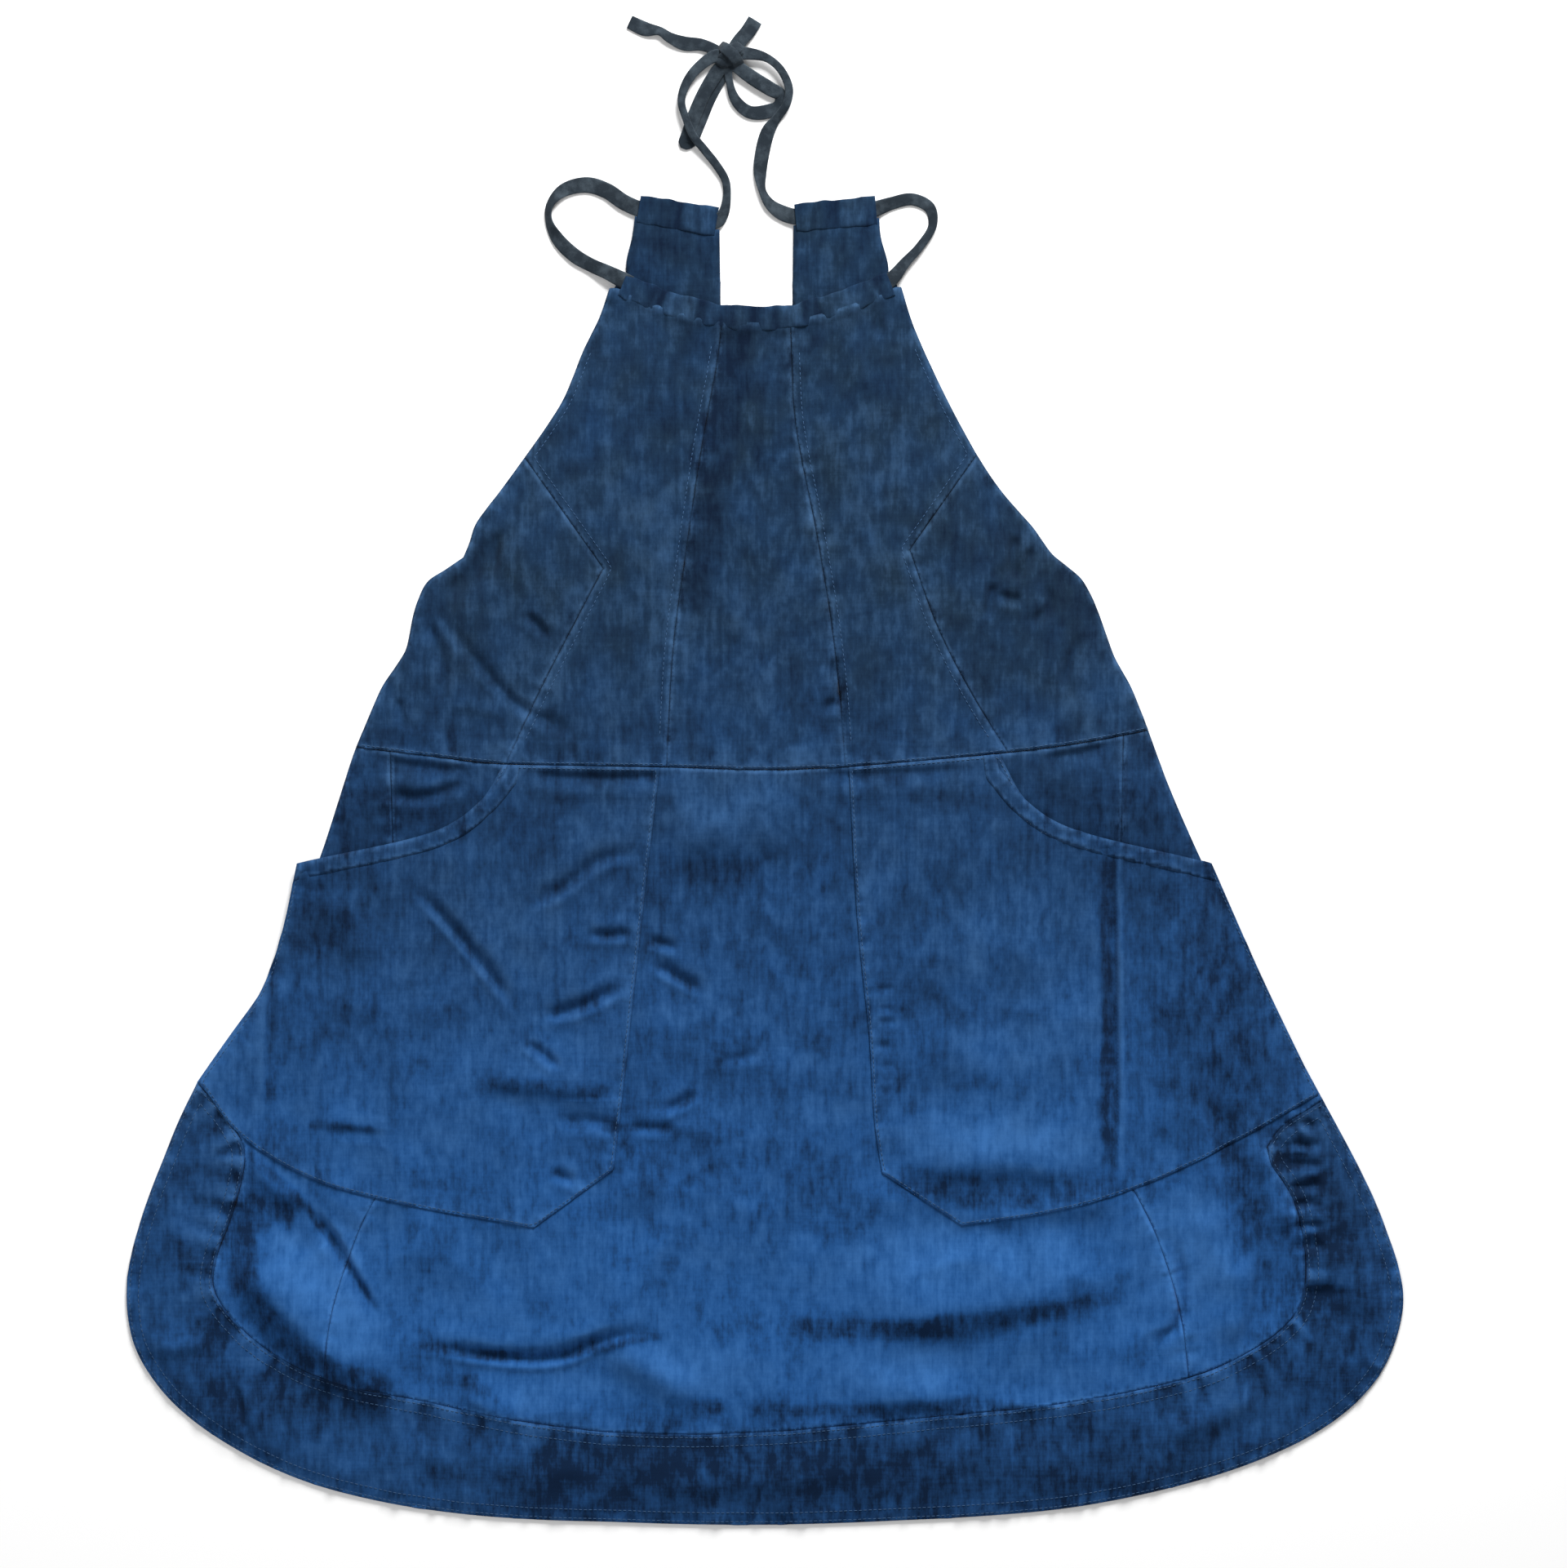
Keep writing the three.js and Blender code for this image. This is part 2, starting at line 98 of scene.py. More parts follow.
# Creases: points, height (a furrow when below 0), then its spread to the left and right of its run.
SKIRT_CREASES = [
    # left pocket
    ([(-240, -80), (-222, -98), (-187, -139), (-164, -172)], -3.6, 5, 2.5),
    ([(-162, -97), (-132, -82), (-108, -64), (-77, -58)], -3.4, 6, 3),
    ([(-120, -115), (-102, -116), (-84, -114)], -3.0, 4, 2.5),
    ([(-152, -173), (-124, -166), (-88, -148)], -4.0, 5, 3),
    ([(-140, -245), (-118, -244), (-95, -247)], -2.4, 5, 4),
    ([(-161, -188), (-148, -198), (-134, -209)], -2.4, 3.5, 2.5),
    ([(-200, -214), (-150, -219), (-95, -224)], 4.6, 22, 9),
    ([(-304, -245), (-280, -246), (-252, -249)], 2.8, 12, 4),
    ([(-323, -79), (-311, -81), (-297, -83)], -2.4, 4, 3),
    ([(-300, -86), (-283, -104), (-268, -140)], 4.0, 16, 12),
    ([(-143, -279), (-134, -283), (-124, -287)], -2.4, 4, 3),
    ([(-318, -72), (-334, -140), (-342, -200), (-344, -252)], 4.6, 8, 22),
    # centre
    ([(-77, -119), (-65, -122), (-52, -126)], -2.6, 4, 2.5),
    ([(-75, -134), (-58, -143), (-36, -156)], -3.6, 5, 2.5),
    ([(-67, -238), (-54, -233), (-40, -224)], -3.4, 4.5, 2.5),
    ([(-90, -248), (-72, -249), (-54, -248)], -2.0, 3.5, 3),
    ([(-28, -203), (-12, -201), (4, -196)], -1.8, 4, 3),
    ([(-74, -46), (-20, -40), (40, -44)], 6.0, 24, 20),
    ([(-104, -290), (-82, -296), (-56, -280)], 3.0, 18, 12),
    # the billow inside the hem band on the left
    ([(-357, -262), (-334, -288), (-308, -304)], 4.0, 5, 8),
    ([(-309, -303), (-291, -328), (-278, -352), (-260, -382)], -3.8, 3, 4.5),
    ([(-348, -308), (-342, -350), (-308, -388), (-276, -417), (-236, -431)], 14, 34, 15),
    ([(-241, -396), (-196, -405), (-158, -409), (-134, -407), (-104, -395), (-62, -389)], -4.4, 5, 2.5),
    ([(-206, -428), (-184, -442), (-158, -452)], 5.0, 14, 8),
    ([(-110, -398), (-78, -414), (-36, -442)], 6.0, 14, 12),
    ([(-365, -420), (-357, -445), (-349, -468)], -2.8, 4, 4),
    # right pocket and the folds under it
    ([(92, -268), (130, -273), (175, -271), (215, -276), (247, -268)], 6.4, 26, 12),
    ([(247, -56), (247.5, -160), (249, -268)], -4.4, 2.2, 6),
    ([(120, -312), (190, -306), (262, -298)], 3.0, 12, 9),
    ([(66, -384), (120, -374), (170, -367), (240, -356)], 9.5, 34, 17),
    ([(66, -436), (110, -434), (158, -430)], 5.0, 18, 9),
    ([(289, -322), (294, -360), (291, -386), (270, -399)], -3.2, 4, 4),
    ([(340, -332), (336, -370), (324, -402)], 4.6, 8, 14),
    ([(352, -250), (358, -285), (368, -325)], 6.5, 8, 12),
    ([(318, -226), (326, -258), (336, -292)], -3.2, 8, 8),
    ([(302, -300), (322, -336), (330, -372)], 3.0, 16, 14),
    ([(92, -120), (150, -130), (220, -118)], 2.4, 24, 20),
    ([(88, -192), (160, -200), (236, -186)], 2.6, 22, 18),
    ([(284, -90), (300, -150), (318, -210)], 3.4, 14, 14),
    # hem band
    ([(-424, -402), (-400, -400), (-374, -396)], 3.4, 8, 6),
    ([(-100, -500), (-20, -494), (90, -486)], 3.0, 14, 9),
    ([(280, -462), (320, -448), (352, -428)], 3.6, 9, 9),
    ([(396, -330), (412, -352), (418, -384)], 4.0, 16, 12),
    # under the waist seam and beside the pocket mouths
    ([(-168, -3), (-130, -6), (-90, -6), (-50, -5)], -2.8, 3, 5),
    ([(30, -5), (90, -4), (160, 0)], -1.6, 3, 5),
    ([(-268, 6), (-230, 1), (-192, -3)], -2.4, 3, 6),
    ([(194, 5), (230, 12), (250, 16)], -2.4, 3, 6),
    ([(-262, -16), (-232, -20), (-196, -8)], -3.0, 4, 4),
    ([(-294, -20), (-288, -40), (-284, -60)], -2.8, 4, 3),
    ([(253, 20), (253, -10), (253, -52)], 2.2, 2.6, 2.6),
]
# Short puckers beside the right pocket's edge and down the right end of the hem band.
for v, end in ((-152, 97), (-166, 95), (-175, 99), (-191, 94), (-205, 98), (-222, 96)):
    SKIRT_CREASES.append(([(83, v), (89, v - 1), (end, v)], -0.8, 2.6, 2))
for v in range(-332, -244, 14):
    start = 348 - 0.06 * v
    SKIRT_CREASES.append(([(start, v), (start + 14, v + 2), (start + 30, v)], -2.2, 3, 2.4))
BODICE_CREASES = [
    ([(50, 79), (56, 62), (57, 50), (43, 34)], -3.4, 3.5, 4),
    ([(-24, 128), (-8, 86), (7, 44)], 1.8, 7, 7),
    ([(-184, 164), (-198, 137), (-222, 117)], -4.4, 9, 6),
    ([(-178, 167), (-181, 150), (-181, 134)], -3.0, 3.5, 3),
    ([(-226, 114), (-194, 74), (-171, 48), (-149, 32), (-134, 18)], -2.6, 5, 3),
    ([(-229, 108), (-217, 66), (-221, 44)], -3.4, 5, 4),
    ([(-249, 50), (-246, 36), (-243, 24)], -2.4, 4, 3),
    ([(-161, 108), (-152, 99), (-143, 88)], -3.0, 3.5, 3),
    ([(-152, 38), (-140, 30), (-127, 22)], -2.4, 7, 4),
    ([(180, 163), (177, 146), (175, 131)], -3.8, 4.5, 4),
    ([(193, 156), (186, 140), (177, 128)], -3.6, 4, 4.5),
    ([(164, 130), (162, 116), (158, 101)], -3.2, 4, 4),
    ([(165, 121), (175, 117), (186, 116)], -2.8, 4, 3),
    ([(200, 130), (202, 111), (186, 98)], -2.6, 4, 4),
    ([(227, 96), (218, 76), (210, 52)], -2.8, 3, 5),
    ([(-216, 46), (-190, 41), (-170, 36)], 2.0, 6, 5),
    ([(-12, 240), (-6, 190), (2, 130)], 1.0, 9, 12),
    ([(-28, 302), (-32, 262), (-38, 206)], 0.9, 5, 7),
    ([(2, 304), (-2, 262), (-6, 214)], 1.0, 5, 10),
    ([(-9, 302), (-15, 262), (-19, 206)], -1.2, 7, 6),
    ([(82, 330), (83, 314), (85, 296)], -3.4, 3.5, 3),
    ([(-46, 310), (-50, 288), (-52, 262)], -2.2, 5, 4),
    ([(-66, 312), (-72, 286), (-78, 262)], 1.8, 7, 7),
    ([(64, 304), (68, 284), (74, 258)], 1.8, 7, 7),
]

# Where the cloth is painted darker (above 0) or paler (below 0): random dye depth, painted shade below folds
# and on cloth turned from the light, and painted highlights above ridges; u, v, half width, half height,
# amount.
DYE_AND_PAINTED_LIGHT = [
    (0, 270, 120, 50, 0.2), (-55, 362, 40, 30, 0.3), (50, 362, 40, 30, 0.2), (-200, 130, 40, 30, 0.3),
    (210, 120, 24, 44, 0.3), (-70, 170, 50, 60, -0.25), (-250, -30, 60, 26, 1.0),
    (245, -20, 60, 28, 0.75), (-205, 20, 70, 14, 0.25), (-19, -70, 50, 16, 0.95),
    (-290, -104, 34, 34, 1.0), (318, -150, 46, 110, 1.3), (-95, -265, 60, 22, 0.5),
    (165, -254, 80, 15, -0.5), (176, -290, 80, 10, 0.5), (-215, -258, 44, 20, -0.5),
    (-150, -120, 50, 50, -0.15), (-10, -240, 50, 40, -0.1), (90, -170, 60, 60, 0.1),
    (0, -340, 90, 30, -0.15), (120, -344, 110, 22, -0.5), (110, -389, 110, 10, 0.4),
    (100, -418, 120, 18, -0.7), (290, -350, 40, 50, -0.6), (-300, -350, 34, 40, -0.45),
    (-372, -220, 20, 40, -0.5), (-50, -416, 44, 16, -0.8), (-150, -432, 40, 12, -0.6),
    (-190, -360, 60, 30, -0.4), (20, -486, 160, 26, 1.25), (-110, -484, 50, 16, 0.5),
    (396, -350, 40, 70, 0.9), (368, -270, 24, 34, 0.5), (-392, -300, 30, 50, 0.2),
    (-300, -470, 60, 24, -0.2), (300, -470, 60, 26, 0.3), (-365, -430, 44, 26, 0.5),
    (-110, -506, 60, 20, 0.4), (190, -500, 70, 20, 0.35), (-395, -372, 20, 26, -0.3),
    (350, -440, 40, 26, -0.2),
]

# Long painted shadows (above 0) and painted highlights (below 0) along a fold: points, half width, amount.
PAINTED_LIGHT_STROKES = [
    ([(-352, -290), (-357, -326), (-350, -356), (-330, -390), (-298, -414), (-246, -432)], 10, 3.2),
    ([(-356, -300), (-336, -302), (-316, -312)], 8, 1.4),
    ([(-330, -312), (-318, -344), (-296, -374), (-262, -404)], 13, -0.6),
    ([(-358, -262), (-312, -304), (-286, -339), (-256, -382)], 2.6, 1.5),
    ([(-352, -258), (-305, -301), (-280, -335)], 2.6, -0.9),
    ([(-240, -398), (-200, -405), (-164, -407)], 3.0, 1.8),
    ([(-138, -408), (-98, -399), (-60, -390)], 3.0, 1.6),
    ([(-202, -418), (-164, -452)], 6, 1.2),
    ([(-196, -218), (-150, -221), (-98, -224)], 6, 1.6),
    ([(-312, -246), (-262, -249)], 2.8, 1.5),
    ([(-112, -249), (-58, -249)], 2.4, 1.4),
    ([(-340, -100), (-341, -160), (-345, -250)], 2.8, -1.4),
    ([(-333, -110), (-335, -170), (-337, -240)], 3.4, 0.9),
    ([(242, -46), (243, -160), (245, -286)], 5, 2.6),
    ([(250.5, -46), (251, -160), (252.5, -286)], 1.8, -1.6),
    ([(22, -386), (90, -388), (160, -380), (256, -366)], 6.5, 1.9),
    ([(-12, -443), (80, -444), (172, -438)], 4.5, 1.7),
    ([(94, -280), (150, -292), (262, -288)], 10, 1.4),
    ([(90, -258), (160, -257), (240, -262)], 8, -1.0),
    ([(326, -240), (338, -290), (352, -330)], 8, 1.5),
    ([(300, -290), (316, -330), (318, -370)], 10, -0.9),
    ([(-13, 316), (-14, 296), (-18, 258), (-26, 222), (-35, 175), (-40, 140), (-42, 100)], 10, 2.0),
    ([(-1, 300), (-3, 250), (-9, 200)], 3, -0.4),
    ([(-66, -441), (-18, -442)], 8, 1.3),
    ([(-160, -472), (-110, -484), (-56, -470)], 12, 1.0),
    ([(-378, -420), (-352, -464)], 5, 1.1),
    ([(-262, -44), (-236, -30), (-206, -26)], 5, 0.8),
]


def at(u, v, z=0.0):
    """A place on the pattern as a point of the frame, in metres."""
    return Vector(((CENTRE_X + u) * MM, (WAIST_Y + v) * MM, z * MM))


# ---------------------------------------------------------------- settings
def length(name, about, value, top=1.0):
    return bpy.props.FloatProperty(
        name=name, description=about, default=value, min=0.0, max=top, precision=5, unit="LENGTH"
    )


def colour(name, about, value):
    return bpy.props.FloatVectorProperty(
        name=name, description=about, default=value, size=3, min=0.0, max=1.0, subtype="COLOR"
    )


class SmockClothSettings(bpy.types.PropertyGroup):
    """Sizes of the cloth and its sewing."""

    hem: length("Hem band", "Finished width of the hem band", 0.066)
    thickness: length("Cloth thickness", "Thickness of one layer of denim", 0.0007)
    grid: length("Front grid", "Spacing of the front cloth's mesh", 0.0033)
    back_grid: length("Back grid", "Spacing of the hidden cloth's mesh", 0.008)
    tab_grid: length("Tab grid", "Spacing of the back bodice's mesh", 0.004)
    facing_grid: length("Facing grid", "Spacing of the pocket facings' mesh", 0.002)
    loft: length("Loft", "Height of the front above the surface in its middle", 0.0076)
    edge: length("Edge height", "Height of the front cloth along its free edges", 0.0021)
    pucker: length("Pucker height", "Height of the puckers along the seams", 0.0011)
    pocket_lift: length("Pocket gape", "How far a pocket's mouth stands off the skirt", 0.007)
    stitch: length("Stitch length", "Length of one topstitch", 0.0026)
    pitch: length("Stitch pitch", "Distance from one topstitch to the next", 0.0034)
    thread: length("Thread width", "Thickness of the sewing thread", 0.0005)


class SmockTieSettings(bpy.types.PropertyGroup):
    """Sizes of the folded tape that draws up the neck."""

    width: length("Tape width", "Full width of the flat tape", 0.011)
    thickness: length("Tape thickness", "Thickness of the folded tape", 0.0014)
    step: length("Tape step", "Length of one step of the tape's mesh", 0.0012)
    neck_casing: length("Neck casing", "Height of the casing on the front", 0.017)
    tab_casing: length("Tab casing", "Height of the casing on a back tab", 0.020)


class SmockColourSettings(bpy.types.PropertyGroup):
    """Colours of the denim, the tape and the stage."""

    # The bodice and skirt blues are the two ends of a painted light falloff: greyer and darker at the neck,
    # brighter and bluer at the hem.
    bodice: colour("Bodice blue", "Greyed navy of the bodice", (0.0072, 0.0205, 0.0420))
    skirt: colour("Skirt blue", "Bluer denim towards the hem", (0.0128, 0.0735, 0.2350))
    # Deep blue is also the colour of the painted shade in folds and furrows.
    deep: colour("Deep blue", "Unfaded yarn", (0.0012, 0.0060, 0.0200))
    # These two pale blues are also the colour of the painted highlights on ridges, lips and seam edges.
    wear_and_highlight: colour("Worn blue", "Faded yarn of the skirt", (0.0400, 0.1500, 0.4000))
    worn_bodice: colour("Worn bodice", "Faded yarn of the bodice", (0.0360, 0.0840, 0.1650))
    tape: colour("Tape", "Dark folded tape", (0.0085, 0.0150, 0.0225))
    # The pale tape colour is also a painted highlight along the tape's edges.
    tape_pale: colour("Worn tape", "Paler edges of the tape", (0.0480, 0.0660, 0.0830))
    thread: colour("Thread", "Topstitching thread", (0.040, 0.100, 0.210))
    floor: colour("Floor", "The pale surface", (0.99, 0.99, 0.99))


class SmockStageSettings(bpy.types.PropertyGroup):
    """The camera and the lights."""

    frame_width: length("Frame width", "Width of the view at the cloth", 1.0867, 5.0)
    distance: length("Camera height", "Height of the camera above the cloth", 3.2, 10.0)
    key: bpy.props.FloatProperty(name="Key light", description="Power of the soft key light", default=104.0)
    sky: bpy.props.FloatProperty(name="Sky light", description="Strength of the even light", default=0.33)


def settings(group):
    return getattr(bpy.context.scene, "smock_" + group)


# ---------------------------------------------------------------- plan geometry, in millimetres
def outline(node):
    """The plan outline of a flat frame node, in pattern millimetres."""
    bm = bmesh.new()
    bm.from_mesh(frame["nodes"][node].data)
    bmesh.ops.remove_doubles(bm, verts=bm.verts, dist=1e-6)
    top = max(v.co.z for v in bm.verts) - 1e-5
    upper = {f for f in bm.faces if all(v.co.z > top for v in f.verts)}
    following = {}
    for face in upper:
        for loop in face.loops:
            if not any(other in upper and other is not face for other in loop.edge.link_faces):
                following[loop.vert.index] = loop.link_loop_next.vert.index
    start = min(following)
    ring = [start]
    while following[ring[-1]] != start:
        ring.append(following[ring[-1]])
    bm.verts.ensure_lookup_table()
    points = [(bm.verts[i].co.x / MM - CENTRE_X, bm.verts[i].co.y / MM - WAIST_Y) for i in ring]
    bm.free()
    return np.array(points)


def soften(ring, corner=32.0, step=3.0):
    """The ring with its slight bends rounded and its true corners kept."""
    into = ring - np.roll(ring, 1, axis=0)
    out = np.roll(ring, -1, axis=0) - ring
    turn = np.arctan2(into[:, 0] * out[:, 1] - into[:, 1] * out[:, 0], (into * out).sum(axis=1))
    sharp = np.flatnonzero(np.abs(turn) > math.radians(corner))
    if len(sharp) == 0:
        sharp = np.array([int(np.abs(turn).argmax())])
    made = []
    for first, last in zip(sharp, np.append(sharp[1:], sharp[0] + len(ring))):
        stretch = ring[np.arange(first, last + 1) % len(ring)]
        made.append(smooth_line(stretch, step)[:-1])
    made = np.vstack(made)
    along = np.roll(made, -1, axis=0) - np.roll(made, 1, axis=0)
    outward = np.stack([along[:, 1], -along[:, 0]], axis=1)
    return made + outward / np.linalg.norm(outward, axis=1)[:, None] * SEAM_CLOSE


def resample(points, step, closed=True):
    """The same line with no edge longer than step."""
    points = np.asarray(points, float)
    ends = np.roll(points, -1, axis=0) if closed else points[1:]
    made = []
    for a, b in zip(points, ends):
        count = max(1, math.ceil(np.linalg.norm(b - a) / step))
        made.append(a + (b - a) * (np.arange(count) / count)[:, None])
    if not closed:
        made.append(points[-1:])
    return np.vstack(made)


def between(t, low, high, a, b):
    """The value at t on the straight run from a, at low, to b, at high."""
    return (high - t) / (high - low) * a + (t - low) / (high - low) * b


def smooth_line(points, step):
    """A smooth curve through the points, sampled about a step apart, with its side channels."""
    points = np.asarray(points, float)
    plain = min(points.shape[1], 3)
    padded = np.vstack([2 * points[0] - points[1], points, 2 * points[-1] - points[-2]])
    made = []
    for i in range(len(points) - 1):
        four = padded[i : i + 4]
        gaps = [np.linalg.norm((b - a)[:plain]) for a, b in zip(four, four[1:])]
        times = np.cumsum([0.0, *(max(1e-6, gap) ** 0.5 for gap in gaps)])
        for t in np.linspace(times[1], times[2], max(2, math.ceil(gaps[1] / step)), endpoint=False):
            first = [between(t, times[k], times[k + 1], four[k], four[k + 1]) for k in range(3)]
            second = [between(t, times[k], times[k + 2], first[k], first[k + 1]) for k in range(2)]
            made.append(between(t, times[1], times[2], *second))
    made.append(points[-1])
    return np.array(made)


def to_line(points, line):
    """For each point: its distance to a line, the side it is on (+1 left) and how far along."""
    starts, ends = line[:-1], line[1:]
    run = ends - starts
    lengths = np.maximum(np.linalg.norm(run, axis=1), 1e-9)
    before = np.concatenate([[0.0], np.cumsum(lengths)[:-1]])
    best = np.full(len(points), 1e9)
    side = np.ones(len(points))
    along = np.zeros(len(points))
    for a, d, size, gone in zip(starts, run, lengths, before):
        away = points - a
        t = np.clip(away @ d / size**2, 0, 1)
        distance = np.linalg.norm(away - t[:, None] * d, axis=1)
        nearer = distance < best
        best = np.where(nearer, distance, best)
        side = np.where(nearer, np.sign(d[0] * away[:, 1] - d[1] * away[:, 0]), side)
        along = np.where(nearer, gone + t * size, along)
    return best, side, along / lengths.sum()


def inside(points, ring):
    """Which points lie inside a closed ring."""
    held = np.zeros(len(points), bool)
    for (ax, ay), (bx, by) in zip(ring, np.roll(ring, -1, axis=0)):
        if ay != by:
            crosses = (points[:, 1] > ay) != (points[:, 1] > by)
            held ^= crosses & (points[:, 0] < (bx - ax) * (points[:, 1] - ay) / (by - ay) + ax)
    return held


def tree(points):
    built = kdtree.KDTree(len(points))
    for i, p in enumerate(points):
        built.insert((p[0], p[1], 0.0), i)
    built.balance()
    return built


def nearest(points, built):
    """The nearest point in a tree to each point, and its distance."""
    found = [built.find((p[0], p[1], 0.0)) for p in points]
    return np.array([f[0][:2] for f in found]), np.array([f[2] for f in found])


def wander(points, scale, seed=0):
    """Smooth noise from -1 to 1 over the plan, a bump about every scale millimetres."""
    spread = np.asarray(points, float) / scale
    cell = np.floor(spread).astype(int)
    part = spread - cell
    part = part * part * (3 - 2 * part)

    def corner(dx, dy):
        value = np.sin((cell[:, 0] + dx) * 127.1 + (cell[:, 1] + dy) * 311.7 + seed * 74.7) * 43758.5453
        return (value - np.floor(value)) * 2 - 1

    low = corner(0, 0) * (1 - part[:, 0]) + corner(1, 0) * part[:, 0]
    high = corner(0, 1) * (1 - part[:, 0]) + corner(1, 1) * part[:, 0]
    return low * (1 - part[:, 1]) + high * part[:, 1]


def ease(value):
    """0 to 1 without a corner at either end."""
    value = np.clip(value, 0, 1)
    return value * value * (3 - 2 * value)


# ---------------------------------------------------------------- the lie of the cloth
@functools.lru_cache(maxsize=None)
def lie():
    """The trees and lines that the height of the cloth is read from."""
    rings = {n: resample(outline(n), 1.5) for n in [*SKIRT_PANELS, *BIB_PANELS, "waist_strip_front"]}
    corners = frame["nodes"]["front_neck_casing"].data.vertices
    casing = np.array([(v.co.x / MM - CENTRE_X, v.co.y / MM - WAIST_Y) for v in corners])
    outer = []
    for name, ring in rings.items():
        others = tree(np.vstack([casing] + [r for n, r in rings.items() if n != name]))
        shared = nearest(ring, others)[1] < SEAM_SHARED
        if name == "hem_band_front":
            band = ring[shared]
        outer.append(ring[~shared])
    outer = np.vstack(outer)
    sides = outer[(outer[:, 1] > SIDE_FOLD[0]) & (outer[:, 1] < SIDE_FOLD[1])]
    strip = outline("waist_strip_front")
    waist = strip[strip[:, 1] < FOLD_ABOVE_WAIST - 0.7]
    pockets = {side: outline("pocket_" + side) for side in SIDES}
    creases = [(smooth_line(run, 6), *rest) for run, *rest in SKIRT_CREASES + BODICE_CREASES]
    painted_light_strokes = [(smooth_line(run, 6), *rest) for run, *rest in PAINTED_LIGHT_STROKES]
    return {
        "outer": tree(outer),
        "side": tree(sides),
        "waist": waist[np.argsort(waist[:, 0])],
        "pocket": pockets,
        "pocket_edge": {side: tree(resample(pockets[side], 1.5)) for side in SIDES},
        "creases": [(line, 3 * max(wide), (rise, *wide)) for line, rise, *wide in creases],
        "narrow": [(line, 1.8 * min(max(wide), 10) + 2, ()) for line, _, *wide in creases if min(wide) < 10],
        "painted_light_strokes": [(line, 3 * width, (width, amount)) for line, width, amount in painted_light_strokes],
        "band": tree(band),
        "band_ring": rings["hem_band_front"],
    }


def beside(points, kind):
    """The marks of a kind that have points in their reach, each with those points' places along it."""
    for line, reach, details in lie()[kind]:
        near = np.all((points > line.min(0) - reach) & (points < line.max(0) + reach), axis=1)
        if near.any():
            yield near, line, reach, details, to_line(points[near], line)


def hump(distance, width):
    return np.exp(-((distance / width) ** 2))


def tapered(along, ends):
    """1 on a mark, falling to 0 over this share of its length at either end."""
    return ease(along / ends) * ease((1 - along) / ends)


def crease_height(points):
    """The folds listed in the crease tables."""
    total = np.zeros(len(points))
    for near, _, _, (rise, left, right), (distance, side, along) in beside(points, "creases"):
        width = np.where(side > 0, left, right)
        shape = hump(distance, width)
        if rise < 0:
            shape -= 0.3 * hump(distance - 2.3 * width, 1.3 * width)
        total[near] += rise * tapered(along, 0.3) * shape
    return total


def crease_painted_light(points):
    """Painted shade down in a furrow, painted highlight along its lips and on the crest of a ridge, and the
    painted light strokes.
    """
    total = np.zeros(len(points))
    for near, line, _, (rise, left, right), (distance, side, along) in beside(points, "creases"):
        width = np.where(side > 0, left, right)
        if rise < 0:
            mark = 0.2 * hump(distance, width) - 0.1 * hump(distance - 1.9 * width, 0.9 * width)
        else:
            mark = -0.06 * hump(distance, width)
        on_bodice = line[0, 1] > 20
        total[near] += abs(rise) * (tapered(along, 0.25) * (0.5 if on_bodice else 1.0)) * mark
    for near, _, _, (width, amount), (distance, _, along) in beside(points, "painted_light_strokes"):
        total[near] += amount * tapered(along, 0.12) * hump(distance, width)
    return total * (1 + 0.4 * wander(points, 8, 24))


def near_crease(points):
    """Where the cloth turns too sharply for the plain net."""
    close = np.zeros(len(points), bool)
    for near, _, reach, _, (distance, _, _) in beside(points, "narrow"):
        close[near] |= distance < reach
    return close


def rumple(points):
    """The small unevenness of washed cloth."""
    bent = points + 14 * np.stack([wander(points, 60, 1), wander(points, 60, 2)], axis=1)
    sharp = 1 - np.abs(wander(bent, 46, 3)) * 2
    lively = 0.42 + 0.98 * ease((60 - points[:, 1]) / 400)
    broad = 2.1 * wander(points, 90, 4) + 1.2 * sharp
    return lively * (broad + 0.5 * wander(bent * (1, 0.6), 17, 5)) + 0.12 * wander(points, 5, 6)


def mouth_gape(points, reach):
    """How far apart a pocket and the skirt stand at a mouth, from 0 to 1."""
    total = np.zeros(len(points))
    for side in SIDES:
        distance, _, along = to_line(points, smooth_line(MOUTH[side], 8))
        total += hump(distance, reach) * np.sqrt(np.clip(np.sin(math.pi * along), 0, 1))
    return total


def neck_line(u):
    """Where the neck's edge lies."""
    return np.interp(u, *np.array(NECK_LINE, float).T)


def waist_line(u):
    """Where the waist seam lies."""
    return np.interp(u, *lie()["waist"].T)


def gathers(points):
    """Small folds that run down from the neck casing."""
    drop = neck_line(points[:, 0]) - 8 - points[:, 1]
    bent = points[:, 0] * (1 - 0.0008 * drop) + 2 * wander(points, 60, 7)
    ripple = wander(np.stack([bent, drop * 0.06], axis=1), 8.5, 8)
    return 1.5 * ripple * np.exp(-np.maximum(drop, 0) / 26) * (points[:, 1] > 120)


def base_height(points):
    """Height of the topmost layer of the front, before its own thickness."""
    cloth = settings("cloth")
    edge, loft = cloth.edge / MM, cloth.loft / MM
    _, out = nearest(points, lie()["outer"])
    rise = 1 - np.exp(-out / 26)
    height = edge + (loft - edge) * rise
    return height + (crease_height(points) + rumple(points) + gathers(points)) * ease(out / 16)


def roll_down(points, height, built, low=0.9, radius=3.5):
    """Turns the cloth down round a folded edge."""
    _, out = nearest(points, built)
    turn = np.clip(1 - out / radius, 0, 1)
    return low + (height - low) * np.sqrt(np.maximum(1 - turn**2, 0.0))


